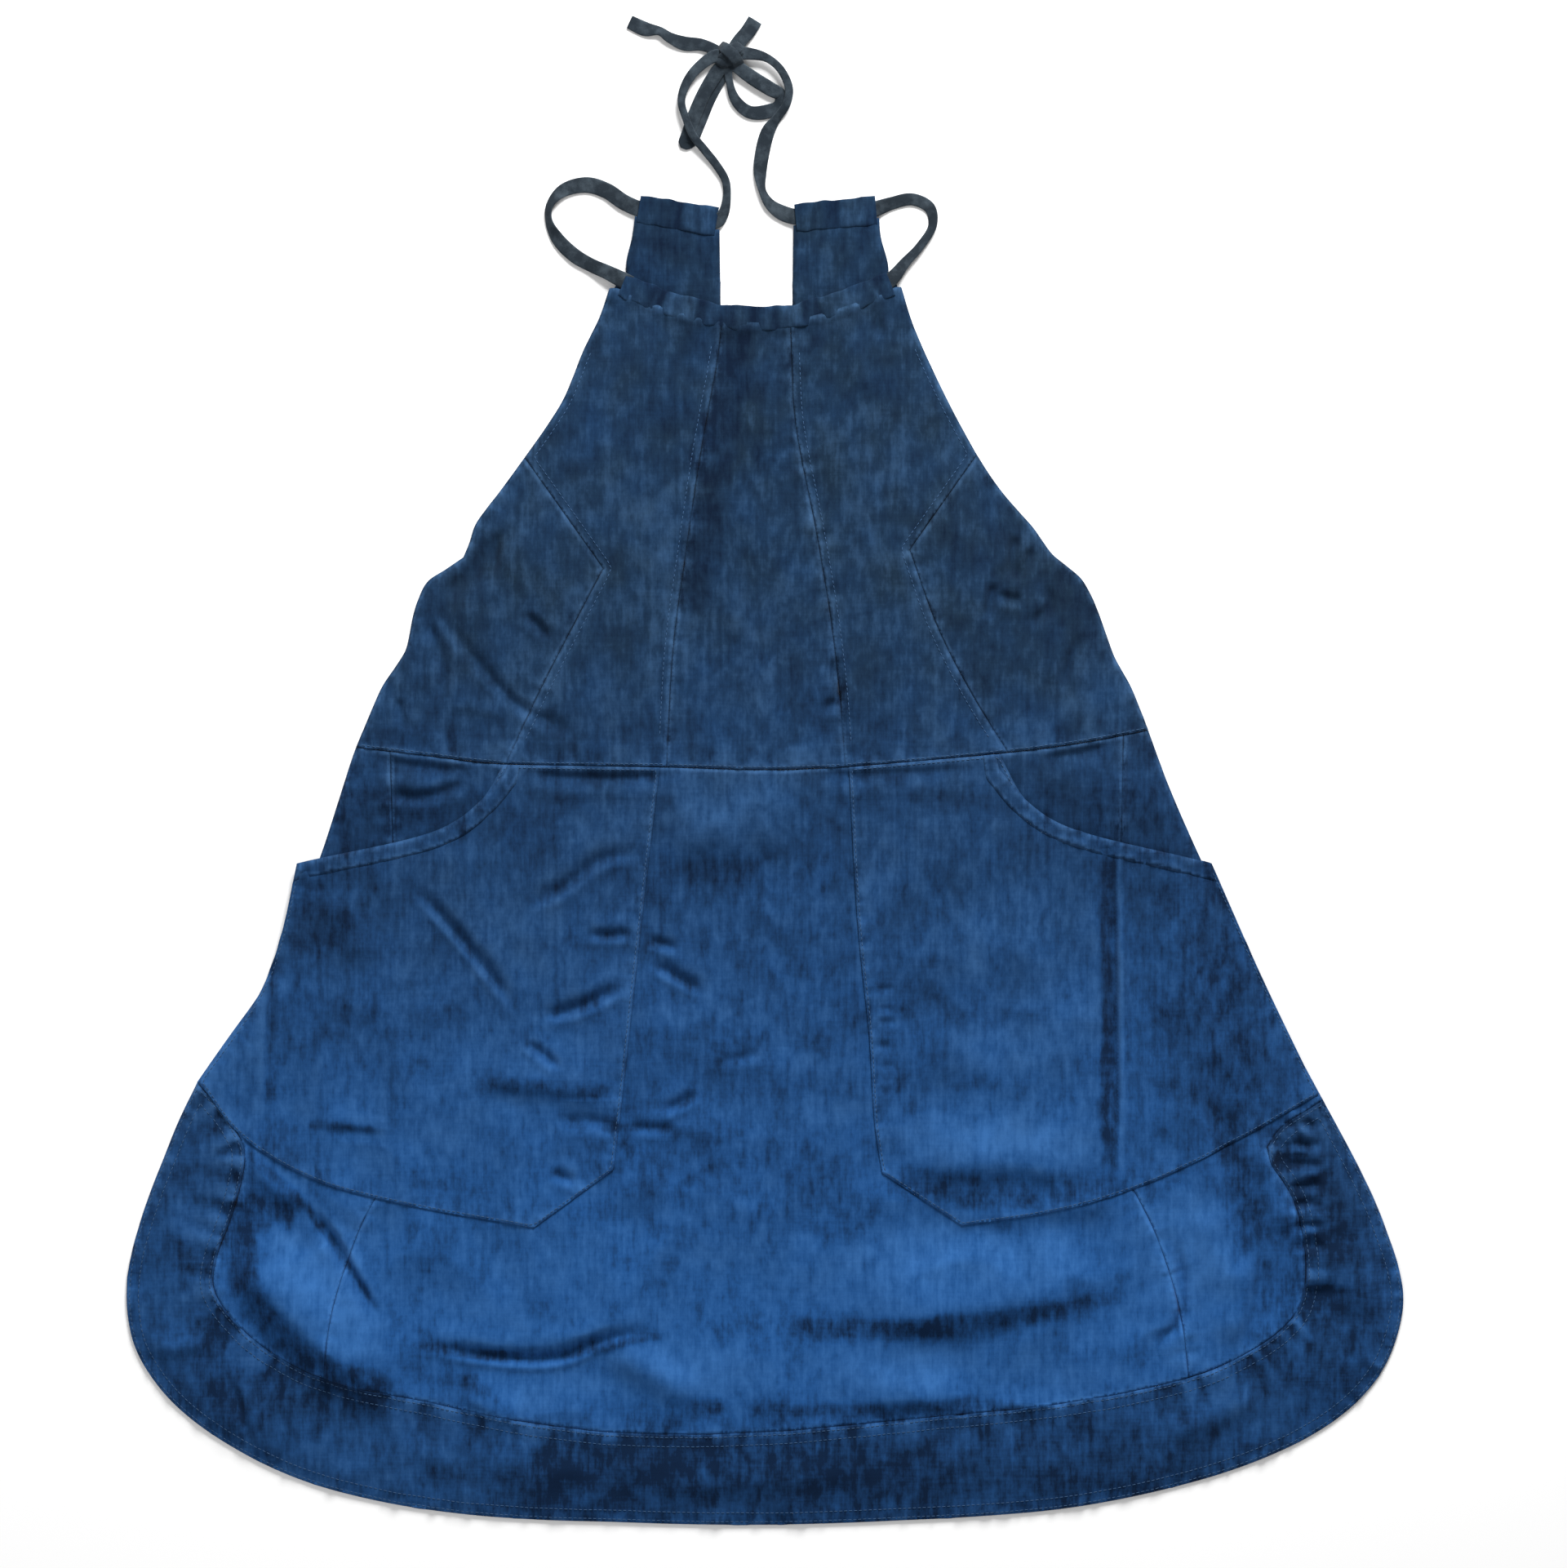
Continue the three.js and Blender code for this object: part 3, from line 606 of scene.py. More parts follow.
def seam_detail(points, own, strength=1.0):
    """Groove and puckers beside a seam, how worn the cloth is there, and a thin painted highlight along its
    edge.
    """
    spot, distance = nearest(points, own)
    ripple = wander(spot, 6.4, 9) + 0.4 * wander(spot, 2.8, 10)
    pucker = settings("cloth").pucker / MM * (1 + 0.5 * wander(spot, 70, 17))
    fade = np.exp(-distance / 9.0)
    height = strength * pucker * ripple * fade * ease(distance / 1.6) - 0.55 * hump(distance, 1.1)
    wear_and_highlight = np.clip(0.35 + 0.8 * ripple, 0, 1) * np.exp(-distance / 5.0) * strength
    # A thin painted highlight just in from the edge, where the raised edge would catch the light.
    wear_and_highlight += 0.85 * hump(distance - 1.4, 1.0)
    return height, np.clip(wear_and_highlight, 0, 1)


def pocket_depth(points):
    """Signed distance into a pocket, positive inside."""
    depth = np.full(len(points), -1e3)
    for side in SIDES:
        _, distance = nearest(points, lie()["pocket_edge"][side])
        held = inside(points, lie()["pocket"][side])
        depth = np.maximum(depth, np.where(held, distance, -distance))
    return depth


def skirt_height(points):
    gape = mouth_gape(points, 24)
    under = ease((pocket_depth(points) + 1) / 7)
    lift = settings("cloth").pocket_lift / MM
    height = base_height(points) - 0.62 * lift * gape - 1.3 * under
    return np.maximum(roll_down(points, height, lie()["side"]), 1.1)


def band_ripple(points):
    """Puckers that run out across the hem band from its seam, strongest at the sides."""
    spot, distance = nearest(points, lie()["band"])
    lively = 0.55 + 0.75 * ease((np.abs(points[:, 0]) - 240) / 90)
    ripple = wander(spot, 11.0, 30) + 0.5 * wander(spot, 5.0, 31)
    return lively * ripple * hump(distance, 24) * ease(distance / 3)


def hem_height(points):
    return roll_down(points, base_height(points) + 0.25 + 2.1 * band_ripple(points), lie()["side"])


POCKET_OVER = 1.35  # a pocket's height over the skirt
FACING_OVER = 0.8  # a facing's height over its pocket


def pocket_height(points):
    lift = settings("cloth").pocket_lift / MM
    return base_height(points) + POCKET_OVER + 0.4 * lift * mouth_gape(points, 40)


def facing_height(points):
    return pocket_height(points) + FACING_OVER


def neck_level(u):
    """Height of the middle of the neck casing."""
    return 6.4 - 1.6 * (np.abs(u) / 93) ** 2


def waist_crimp(points):
    """The seam allowance above the waist: where it lies, and its small upright puckers."""
    above = points[:, 1] - waist_line(points[:, 0])
    allowance = ease((17 - above) / 2.5)
    crimp = wander(np.stack([points[:, 0] + 0.15 * above, above * 0.15], axis=1), 5.0, 11)
    return allowance, crimp * allowance * ease(above / 5)


def bib_height(points):
    """The bodice, thicker over the seam allowance above the waist."""
    allowance, crimp = waist_crimp(points)
    height = base_height(points) + 0.55 * allowance + 0.95 * crimp
    drop = np.maximum(neck_line(points[:, 0]) - 9 - points[:, 1], 0)
    near = np.exp(-drop / 13) * (points[:, 1] > 250)
    height = height * (1 - near) + (neck_level(points[:, 0]) + 1.3 + gathers(points)) * near
    return roll_down(points, height, lie()["side"])


def back_height(points):
    return 0.78 + 0.14 * wander(points, 40, 12)


def light_falloff_tone(points):
    """Painted light falloff: 0 where the cloth is painted greyer and darker at the bodice, 1 where it is
    painted brighter and bluer at the hem, with a little random tone.
    """
    return np.clip(0.10 + ease((150 - points[:, 1]) / 640) * 1.0 + 0.06 * wander(points, 120, 13), 0, 1)


def dye_and_painted_light(points):
    """How much darker or paler the cloth is painted than its own colour: random dye depth, with painted
    shade and highlights in the folds, on the hem band's puckers and the waist crimps.
    """
    total = 0.25 * wander(points, 55, 15) + 0.2 * wander(points, 24, 16)
    for u, v, wide, tall, amount in DYE_AND_PAINTED_LIGHT:
        away = ((points[:, 0] - u) / wide) ** 2 + ((points[:, 1] - v) / tall) ** 2
        total = total + amount * np.exp(-away)
    # Painted shade in the hollows of the hem band's puckers and the waist crimps, painted highlight on their
    # crests.
    puckered = np.where(inside(points, lie()["band_ring"]), band_ripple(points), 0.0)
    total = total + crease_painted_light(points) - 1.9 * puckered - 0.9 * waist_crimp(points)[1]
    return 0.95 * np.tanh(total / 0.95)


# ---------------------------------------------------------------- meshes
def placed(name, data):
    """A new object in the scene."""
    made = bpy.data.objects.new(name, data)
    bpy.context.scene.collection.objects.link(made)
    return made


def fill(ring, step, fine=False):
    """A triangle net inside a ring, twice as fine beside creases and edges: plan points and triangles."""
    edge = resample(ring, step)
    low, high = ring.min(0), ring.max(0)
    small = step / 2 if fine else step
    tall = small * math.sqrt(3) / 2
    columns, rows = np.ceil((high - low) / (small, tall)).astype(int) + 1
    row, column = np.meshgrid(np.arange(rows), np.arange(columns), indexing="ij")
    row, column = row.ravel(), column.ravel()
    net = low + np.stack([(column + (row % 2) / 2) * small, row * small * math.sqrt(3) / 2], axis=1)
    held = inside(net, ring)
    net, row, column = net[held], row[held], column[held]
    _, gap = nearest(net, tree(edge))
    if fine:
        coarse = (row % 2 == 0) & (column % 2 == (row // 2) % 2)
        dense = near_crease(net) | (gap < 6)
        if fine == "under":
            dense &= pocket_depth(net) < 8
        net, gap = net[coarse | dense], gap[coarse | dense]
    net = net[gap > small * 0.62]
    verts = [Vector(p) for p in np.vstack([edge, net]).tolist()]
    count = len(edge)
    sides = [(i, (i + 1) % count) for i in range(count)]
    made, _, faces, *_ = geometry.delaunay_2d_cdt(verts, sides, [], 1, 1e-6)
    return np.array([tuple(v) for v in made]), np.array(faces)


def new_mesh(name, points, faces, material, attributes=None):
    """An object from points in pattern millimetres."""
    mesh = bpy.data.meshes.new(name)
    spots = (np.asarray(points, float) + (CENTRE_X, WAIST_Y, 0)) * MM
    mesh.from_pydata(spots.tolist(), [], [tuple(f) for f in faces])
    mesh.materials.append(material)
    for title, values in (attributes or {}).items():
        layer = mesh.attributes.new(title, "FLOAT", "POINT")
        layer.data.foreach_set("value", np.asarray(values, np.float32))
    mesh.polygons.foreach_set("use_smooth", [True] * len(mesh.polygons))
    mesh.update()
    return placed(name, mesh)


def shell(name, plan, height, faces, thickness, material, attributes):
    """Cloth with a face, a back and closed edges."""
    top = np.column_stack([plan, height])
    corners = top[faces]
    facing = np.cross(corners[:, 1] - corners[:, 0], corners[:, 2] - corners[:, 0])
    if facing[:, 2].sum() < 0:
        faces, facing = faces[:, ::-1], -facing
    normals = np.zeros_like(top)
    for k in range(3):
        np.add.at(normals, faces[:, k], facing)
    normals /= np.maximum(np.linalg.norm(normals, axis=1), 1e-12)[:, None]
    under = top - normals * thickness
    count = len(top)
    edges = np.vstack([faces[:, [0, 1]], faces[:, [1, 2]], faces[:, [2, 0]]])
    known = {tuple(e) for e in edges.tolist()}
    rim = [(a, b) for a, b in known if (b, a) not in known]
    walls = [(b, a, a + count, b + count) for a, b in rim]
    doubled = {k: np.concatenate([v, v]) for k, v in attributes.items()}
    shape = [*faces.tolist(), *(faces[:, ::-1] + count).tolist(), *walls]
    return new_mesh(name, np.vstack([top, under]), shape, material, doubled)


def belong(piece, body, slot, *nodes):
    """Hides the frame's nodes a piece stands for and attaches it to the body it moves with; the slot is not
    used.
    """
    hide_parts(*nodes)
    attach(piece, body)


def lay(name, ring, height, material, step=None, strength=1.0, fine=True, strip=0):
    """A cut piece of cloth laid to a height; the size it was cut to (strip) is not used."""
    cloth = settings("cloth")
    ring = soften(ring)
    plan, faces = fill(ring, (step or cloth.grid) / MM, fine)
    own = tree(resample(ring, 1.2))
    detail, wear_and_highlight = seam_detail(plan, own, strength)
    z = height(plan) + detail
    attributes = {"wear_and_highlight": wear_and_highlight, "falloff_tone": light_falloff_tone(plan), "dye_and_shading": dye_and_painted_light(plan)}
    made = shell(name, plan, z, faces, cloth.thickness / MM, material, attributes)
    return made


def parted(ring):
    """A ring's run off the fold line, and its run on it."""
    at_fold = np.abs(ring[:, 1] - FOLD_ABOVE_WAIST) < AT_FOLD
    start = int(np.flatnonzero(at_fold & ~np.roll(at_fold, -1))[0]) + 1
    ring, at_fold = np.roll(ring, -start, axis=0), np.roll(at_fold, -start)
    return ring[~at_fold], ring[at_fold]


def with_strip(panel, strip):
    """A bodice panel's outline carried down over the fold to the waist seam."""
    upper, bottom = parted(outline(panel))
    left, right = bottom[bottom[:, 0].argmin()], bottom[bottom[:, 0].argmax()]
    path = resample(parted(outline(strip))[0], 4.0, closed=False)

    def foot(corner, above):
        """Where a seam, carried on past the fold, meets the waist seam."""
        lean = (corner[0] - above[0]) / (above[1] - corner[1])
        places = corner[0] + lean * (corner[1] - path[:, 1])
        return int(np.abs(places - path[:, 0]).argmin())

    first = 0 if left[0] < path[:, 0].min() + 14 else foot(left, upper[-1])
    last = len(path) - 1 if right[0] > path[:, 0].max() - 14 else foot(right, upper[0])
    return np.vstack([path[first : last + 1], upper])


AROUND = 16  # points round a tape's section


def sweep(stations, step, section_points=AROUND, ripple=None):
    """A flat tape along (u, v, z, width, thickness, roll) stations: points, faces and centreline."""
    line = smooth_line(np.array(stations, float), step)
    centre = line[:, :3]
    run = np.gradient(centre, axis=0)
    run /= np.linalg.norm(run, axis=1)[:, None]
    across = np.cross((0, 0, 1), run)
    across /= np.linalg.norm(across, axis=1)[:, None]
    upward = np.cross(run, across)
    turn = np.radians(line[:, 5])[:, None]
    sideways = across * np.cos(turn) + upward * np.sin(turn)
    lifted = upward * np.cos(turn) - across * np.sin(turn)
    angles = np.arange(section_points) / section_points * math.tau
    wide = np.sign(np.cos(angles)) * np.abs(np.cos(angles)) ** 0.45
    tall = np.sign(np.sin(angles)) * np.abs(np.sin(angles)) ** 0.7
    rings = []
    for i in range(len(line)):
        grow = 1.0 if ripple is None else ripple(i * step, angles)
        out, up = wide * line[i, 3] / 2, tall * line[i, 4] / 2 * grow
        rings.append(centre[i] + (sideways[i] * out[:, None] + lifted[i] * up[:, None]))
    count = section_points
    faces = []
    for i in range(len(line) - 1):
        for k in range(count):
            a, b = i * count + k, i * count + (k + 1) % count
            faces.append((a, a + count, b + count, b))
    faces.append(tuple(range(count)))
    faces.append(tuple(range(len(line) * count - 1, (len(line) - 1) * count - 1, -1)))
    return np.vstack(rings), faces, centre


# ---------------------------------------------------------------- materials
def arithmetic(operation, swapped=False):
    """A method that joins a socket and another value with a math node."""

    def apply(self, other):
        first, second = (other, self) if swapped else (self, other)
        return self.nodes.make("ShaderNodeMath", {"operation": operation}, {0: first, 1: second})[0]

    return apply


class Value:
    """A shader socket that Python arithmetic can be done on."""

    def __init__(self, nodes, socket):
        self.nodes, self.socket = nodes, socket

    __add__ = __radd__ = arithmetic("ADD")
    __mul__ = __rmul__ = arithmetic("MULTIPLY")
    __sub__ = arithmetic("SUBTRACT")
    __rsub__ = arithmetic("SUBTRACT", swapped=True)


class Nodes:
    """Builds one material's node tree."""

    def __init__(self, name):
        self.material = bpy.data.materials.new(name)
        self.material.use_nodes = True
        self.tree = self.material.node_tree
        self.shader = self.tree.nodes["Principled BSDF"]

    def make(self, kind, values=None, sockets=None):
        """One node with its settings, then its inputs; returns its outputs."""
        node = self.tree.nodes.new(kind)
        for key, value in (values or {}).items():
            setattr(node, key, value)
        for key, value in (sockets or {}).items():
            self.put(node.inputs[key], value)
        return [Value(self, out) for out in node.outputs]

    def put(self, socket, value):
        if isinstance(value, Value):
            self.tree.links.new(value.socket, socket)
        else:
            socket.default_value = value

    def noise(self, where, scale, detail=3.0, rough=0.55):
        sockets = {"Vector": where, "Scale": scale, "Detail": detail, "Roughness": rough}
        return self.make("ShaderNodeTexNoise", {}, sockets)[0]

    def stretched(self, where, scale):
        return self.make("ShaderNodeMapping", {}, {"Vector": where, "Scale": scale})[0]

    def attribute(self, name):
        return self.make("ShaderNodeAttribute", {"attribute_name": name})[2]

    def mix(self, factor, first, second):
        return self.make("ShaderNodeMix", {"data_type": "RGBA"}, {0: factor, 6: first, 7: second})[2]

    def bump(self, strength, distance, height):
        """Surface relief of a height in metres, set on the shader."""
        sockets = {"Strength": strength, "Distance": distance, "Height": height}
        self.put(self.shader.inputs["Normal"], self.make("ShaderNodeBump", {}, sockets)[0])

    def clamp(self, value):
        return self.make("ShaderNodeClamp", {}, {0: value})[0]

    def set(self, **constants):
        for key, value in constants.items():
            self.put(self.shader.inputs[key.replace("_", " ")], value)
        return self.material


def rgba(value):
    return (*value, 1.0)


def mixed(first, second, share):
    """The first colour with a share of the second, as RGBA."""
    return rgba(a * (1 - share) + b * share for a, b in zip(first, second))


# Noise in the cloth: its scale along and across the warp, its detail and its roughness.
SLUB = (300, 26), 3.0, 0.55
FINE_YARN = (1000, 120), 2.0, 0.6
WEFT_YARN = (40, 520), 3.0, 0.6
MOTTLE = (150, 62), 4.0, 0.65
CLOUD = (19, 15), 4.0, 0.6
PATCH = (80, 60), 3.0, 0.65
HUE = (36, 28), 2.0, 0.5


@functools.lru_cache(maxsize=None)
def denim(name, wash=0.0, weft=0.5, depth=0.0):
    """Slubbed indigo cloth, greyer and darker where the painted light falloff is low, darker and paler by
    its random yarn and by the painted shade and highlights, and paler where wear and painted highlight are
    high.
    """
    n = Nodes(name)
    colours = settings("colour")
    place = n.make("ShaderNodeTexCoord")[3]
    grains = [n.noise(n.stretched(place, (*scale, 1)), 1.0, detail, rough)
              for scale, detail, rough in (SLUB, FINE_YARN, WEFT_YARN, MOTTLE, CLOUD, PATCH, HUE)]
    slub, fine, weft_yarn, mottle, cloud, patch, hue = grains
    # The painted light falloff from neck to hem, with random hue.
    falloff_tone = n.clamp(n.attribute("falloff_tone") + wash + (hue - 0.5) * 0.35)
    wear_and_highlight = n.attribute("wear_and_highlight")
    body = n.mix(falloff_tone, rgba(colours.bodice), rgba(colours.skirt))
    bodice, skirt, deep = colours.bodice, colours.skirt, colours.deep
    dark = n.mix(falloff_tone, mixed(bodice, deep, 0.85), mixed(skirt, deep, 0.84))
    light = n.mix(falloff_tone, mixed(bodice, colours.worn_bodice, 0.52), mixed(skirt, colours.wear_and_highlight, 0.62))
    palest = n.mix(falloff_tone, rgba(colours.worn_bodice), mixed(skirt, colours.wear_and_highlight, 0.85))
    streak = (slub - 0.5) * 1.6 + (fine - 0.5) * 0.6 + (mottle - 0.5) * 2.6 + (weft_yarn - 0.5) * weft
    streak = streak + (cloud - 0.5) * 1.5 + (patch - 0.5) * 2.6 - n.attribute("dye_and_shading") - depth
    # Where streak is below 0 the cloth darkens towards the dark blue, by random yarn and painted shade;
    # above 0 it pales, by random fades and painted highlights.
    shaded = n.mix(n.clamp(streak * -0.72), body, dark)
    lifted = n.mix(n.clamp(streak * 0.72), shaded, light)
    final_colour = n.mix(n.clamp(wear_and_highlight * (0.45 + streak * 0.5)), lifted, palest)
    n.put(n.shader.inputs["Base Color"], final_colour)
    n.put(n.shader.inputs["Roughness"], n.clamp(0.93 - wear_and_highlight * 0.08 + (fine - 0.5) * 0.1))
    n.bump(0.35, 0.0005, slub * 0.7 + fine * 0.8 + weft_yarn * 0.5)
    return n.set(Specular_IOR_Level=0.08, Sheen_Weight=0.015, Sheen_Roughness=0.6)


def hem_cloth():
    return denim("hem_denim", -0.34, 0.8, 0.32)


@functools.lru_cache(maxsize=None)
def tape_cloth():
    """The tie: dark folded cotton, paler in random patches, and paler along its edges as a painted
    highlight.
    """
    n = Nodes("tie_tape_cotton")
    colours = settings("colour")
    place = n.make("ShaderNodeTexCoord")[3]
    patch = n.noise(place, 130.0, 4.0, 0.6)
    cloud = n.noise(place, 45.0, 3.0, 0.5)
    fine = n.noise(place, 1700.0, 2.0, 0.6)
    edge = n.attribute("wear_and_highlight")
    factor = n.clamp((patch - 0.44) * 2.2 + (cloud - 0.5) * 1.6 + edge * 0.4 + (fine - 0.5) * 0.5)
    n.put(n.shader.inputs["Base Color"], n.mix(factor, rgba(colours.tape), rgba(colours.tape_pale)))
    n.put(n.shader.inputs["Roughness"], n.clamp(0.84 + (fine - 0.5) * 0.2))
    n.bump(0.4, 0.0004, fine + patch)
    return n.set(Specular_IOR_Level=0.2, Sheen_Weight=0.05)


@functools.lru_cache(maxsize=None)
def thread_cotton():
    n = Nodes("topstitch_thread")
    place = n.make("ShaderNodeTexCoord")[3]
    twist = n.noise(place, 900.0, 2.0, 0.5)
    colours = settings("colour")
    final_colour = n.mix(twist, mixed(colours.thread, colours.deep, 0.35), rgba(colours.thread))
    n.put(n.shader.inputs["Base Color"], final_colour)
    return n.set(Roughness=0.7, Specular_IOR_Level=0.25)


@functools.lru_cache(maxsize=None)
def pale_floor():
    n = Nodes("pale_floor")
    return n.set(Base_Color=rgba(settings("colour").floor), Roughness=0.9, Specular_IOR_Level=0.1)


# ---------------------------------------------------------------- operators
VIEW_CENTRE = (18.7, -11.0)
LIT_SPOT = (0, -60)
FLOOR_HALF = 4.0
# Each lamp's place, its size and its share of the key light's power.
LAMPS = {"key": ((0.55, 2.1, 1.25), 1.0, 1.0), "fill": ((-1.4, -0.6, 2.2), 1.8, 0.16)}


class SMOCK_OT_stage(bpy.types.Operator):
    """Sets the pale floor, the lights and the camera overhead."""

    bl_idname = "smock.stage"
    bl_label = "Stage"

    def execute(self, context):
        stage = settings("stage")
        scene = context.scene
        scene.view_settings.view_transform = "Standard"
        centre = at(*VIEW_CENTRE)
        camera = placed("camera", bpy.data.cameras.new("camera"))
        camera.data.lens = camera.data.sensor_width * stage.distance / stage.frame_width
        camera.location = (centre.x, centre.y, stage.distance)
        scene.camera = camera
        mesh = bpy.data.meshes.new("floor")
        corners = [(x * FLOOR_HALF, y * FLOOR_HALF, 0) for x, y in ((-1, -1), (1, -1), (1, 1), (-1, 1))]
        mesh.from_pydata(corners, [], [(0, 1, 2, 3)])
        mesh.materials.append(pale_floor())
        placed("floor", mesh)
        world = bpy.data.worlds.new("even_light")
        world.use_nodes = True
        background = world.node_tree.nodes["Background"]
        background.inputs["Color"].default_value = (1, 1, 1, 1)
        background.inputs["Strength"].default_value = stage.sky
        scene.world = world
        for name, (place, size, share) in LAMPS.items():
            self.light(name, place, size, stage.key * share)
        return {"FINISHED"}

    def light(self, name, place, size, power):
        """A square lamp turned towards the middle of the skirt."""
        lamp = bpy.data.lights.new(name, "AREA")
        lamp.size, lamp.energy = size, power
        made = placed(name, lamp)
        made.location = place
        made.rotation_euler = (at(*LIT_SPOT) - Vector(place)).to_track_quat("-Z", "Y").to_euler()


# Tapes run through (u, v, height, width, thickness, roll) stations. The last three may be left out.
PLAIN_TAPE = (11, 1.4, 0)
SHOULDER_ROUTE = {
    "left": [
        (-75, 386, 2.4), (-81.6, 387.4, 2.3), (-92, 392, 2), (-104, 400, 1.4), (-118, 404, 1.2),
        (-134, 400, 1.4, 9.5, 1.4, 10), (-143, 390, 2.6, 6.5, 1.8, 35), (-144, 380, 2.8, 6, 1.8, 40),
        (-138, 367, 1.8, 9, 1.4, 10), (-126, 355, 1.8, 10), (-114, 348, 2.8, 9.5, 1.4, 8),
        (-104, 343.5, 4.2, 10), (-95, 339, 4.9), (-87, 335, 5.2),
    ],
    "right": [
        (75, 385.6, 2.4), (81, 386.8, 2.3), (93, 391, 1.8, 9, 1.6, 10), (108, 394, 1.2, 8.5, 1.6),
        (120, 388, 1.4, 8, 1.6, 10), (122, 376, 1.6, 6.5, 1.8, 25), (113, 361, 2.6, 6.5, 1.8, 20),
        (103, 350, 3.6, 7.5, 1.6, 10), (94, 339, 4.8, 10), (87, 334, 5.2),
    ],
}
NECK_ROUTE = {
    "left": [
        (-34, 378.6, 2.4, 10), (-27.6, 378.8, 2.3, 10), (-23, 384, 2.2, 8, 1.8, 20),
        (-20.5, 396, 1.8, 5.6, 2.4), (-21.5, 407, 1.8, 5.6, 2.4), (-28, 418, 2, 5.8, 2.4),
        (-36, 428, 3, 5.8, 2.4), (-44, 438, 4.4, 5.6, 2.4), (-49, 450, 4.8, 5.2, 2.4),
        (-52, 462, 4.4, 5.4, 2.2), (-48, 475, 4.4, 6.6, 2), (-39, 486, 4.6, 7.5, 2),
        (-27, 493, 5, 9, 1.6), (-22, 490, 4.4, 9), (-28, 481, 3, 10, 1.3), (-37, 466, 2.4, 9.5, 1.3),
        (-43, 452, 2.2, 9.5, 1.3), (-48, 438, 1.9, 9, 1.3), (-49.5, 433, 1.4, 9, 1.2),
        (-46, 434, 1.0, 9, 1.2), (-40, 447, 0.9, 9.5, 1.2), (-33, 464, 0.9, 9.5, 1.2),
        (-25, 479, 1.4, 9.5, 1.3), (-18, 493, 3, 10), (-12, 503, 3, 10), (-6, 510, 2.2, 10.5, 1.8),
        (-1, 518, 1.6, 10.5, 2.2),
    ],
    "right": [
        (32, 381.6, 2.4), (25.6, 382, 2.3), (17, 385, 1.8, 10.5), (9, 391, 1.6, 8, 1.5, 15),
        (4, 400, 1.8, 6, 1.8, 30), (2.5, 412, 1.4, 9, 1.4, 8), (4, 426, 1.3, 10), (8, 441, 1.6, 9.5),
        (14, 450, 2.4, 6.5, 1.8, 20), (20.5, 459, 4.2, 5.8, 2.2), (22.5, 470, 4.8, 5.8, 2.2),
        (17, 483, 4.8, 5.6, 2.2), (8, 491, 4.6, 5.8, 2.2), (-2, 494, 4.6, 8, 1.8),
        (-12, 494, 4.4, 9, 1.6), (-19, 486, 3.6, 6.5, 2), (-18.5, 474, 2.6, 5.2, 2.2),
        (-14, 462, 1.8, 7.5, 1.8), (-5, 454.5, 1.4, 9), (6, 454.5, 1.2, 10), (15.5, 458.5, 1.4, 9),
        (17, 465.5, 2.6, 9), (9, 470.5, 3.2, 10), (-3, 478, 3.4, 10), (-14, 486, 3.6, 9),
        (-26, 496, 2.6, 7.5, 1.8), (-38, 501, 1.6, 8.5, 1.6), (-50, 502, 1.2, 10),
        (-60, 506, 1.6, 8, 1.6, 15), (-67, 510.5, 1.5, 7, 1.8, 25), (-77, 512, 1.2, 10),
        (-88, 517, 1.0, 9.5),
    ],
}
KNOT_PLACE = (-18, 494, 4.4)
KNOT_SIZE = (11.0, 7.2, 3.6)
KNOT_TURN = math.radians(38)
KNOT_BANDS = [
    [
        (-25, 488, 2.0, 7, 1.6), (-23, 490.5, 6.6, 8, 1.6), (-18.5, 494.5, 8.3, 9, 1.6),
        (-13, 498.5, 7.0, 8, 1.6), (-10.5, 501, 2.4, 7, 1.6),
    ],
    [
        (-25, 500.5, 2.4, 7, 1.6), (-22, 498, 7.6, 8, 1.6), (-17.5, 494, 9.5, 8.5, 1.7),
        (-13.5, 489.5, 8.0, 8, 1.6), (-11.5, 486.5, 2.8, 7, 1.6),
    ],
]
TAPE_FLOOR = 0.1  # no tape lies lower than this


def stations(route):
    """A route with the plain tape's width, thickness and roll wherever they were left out."""
    return [(*row, *PLAIN_TAPE[len(row) - 3 :]) for row in route]


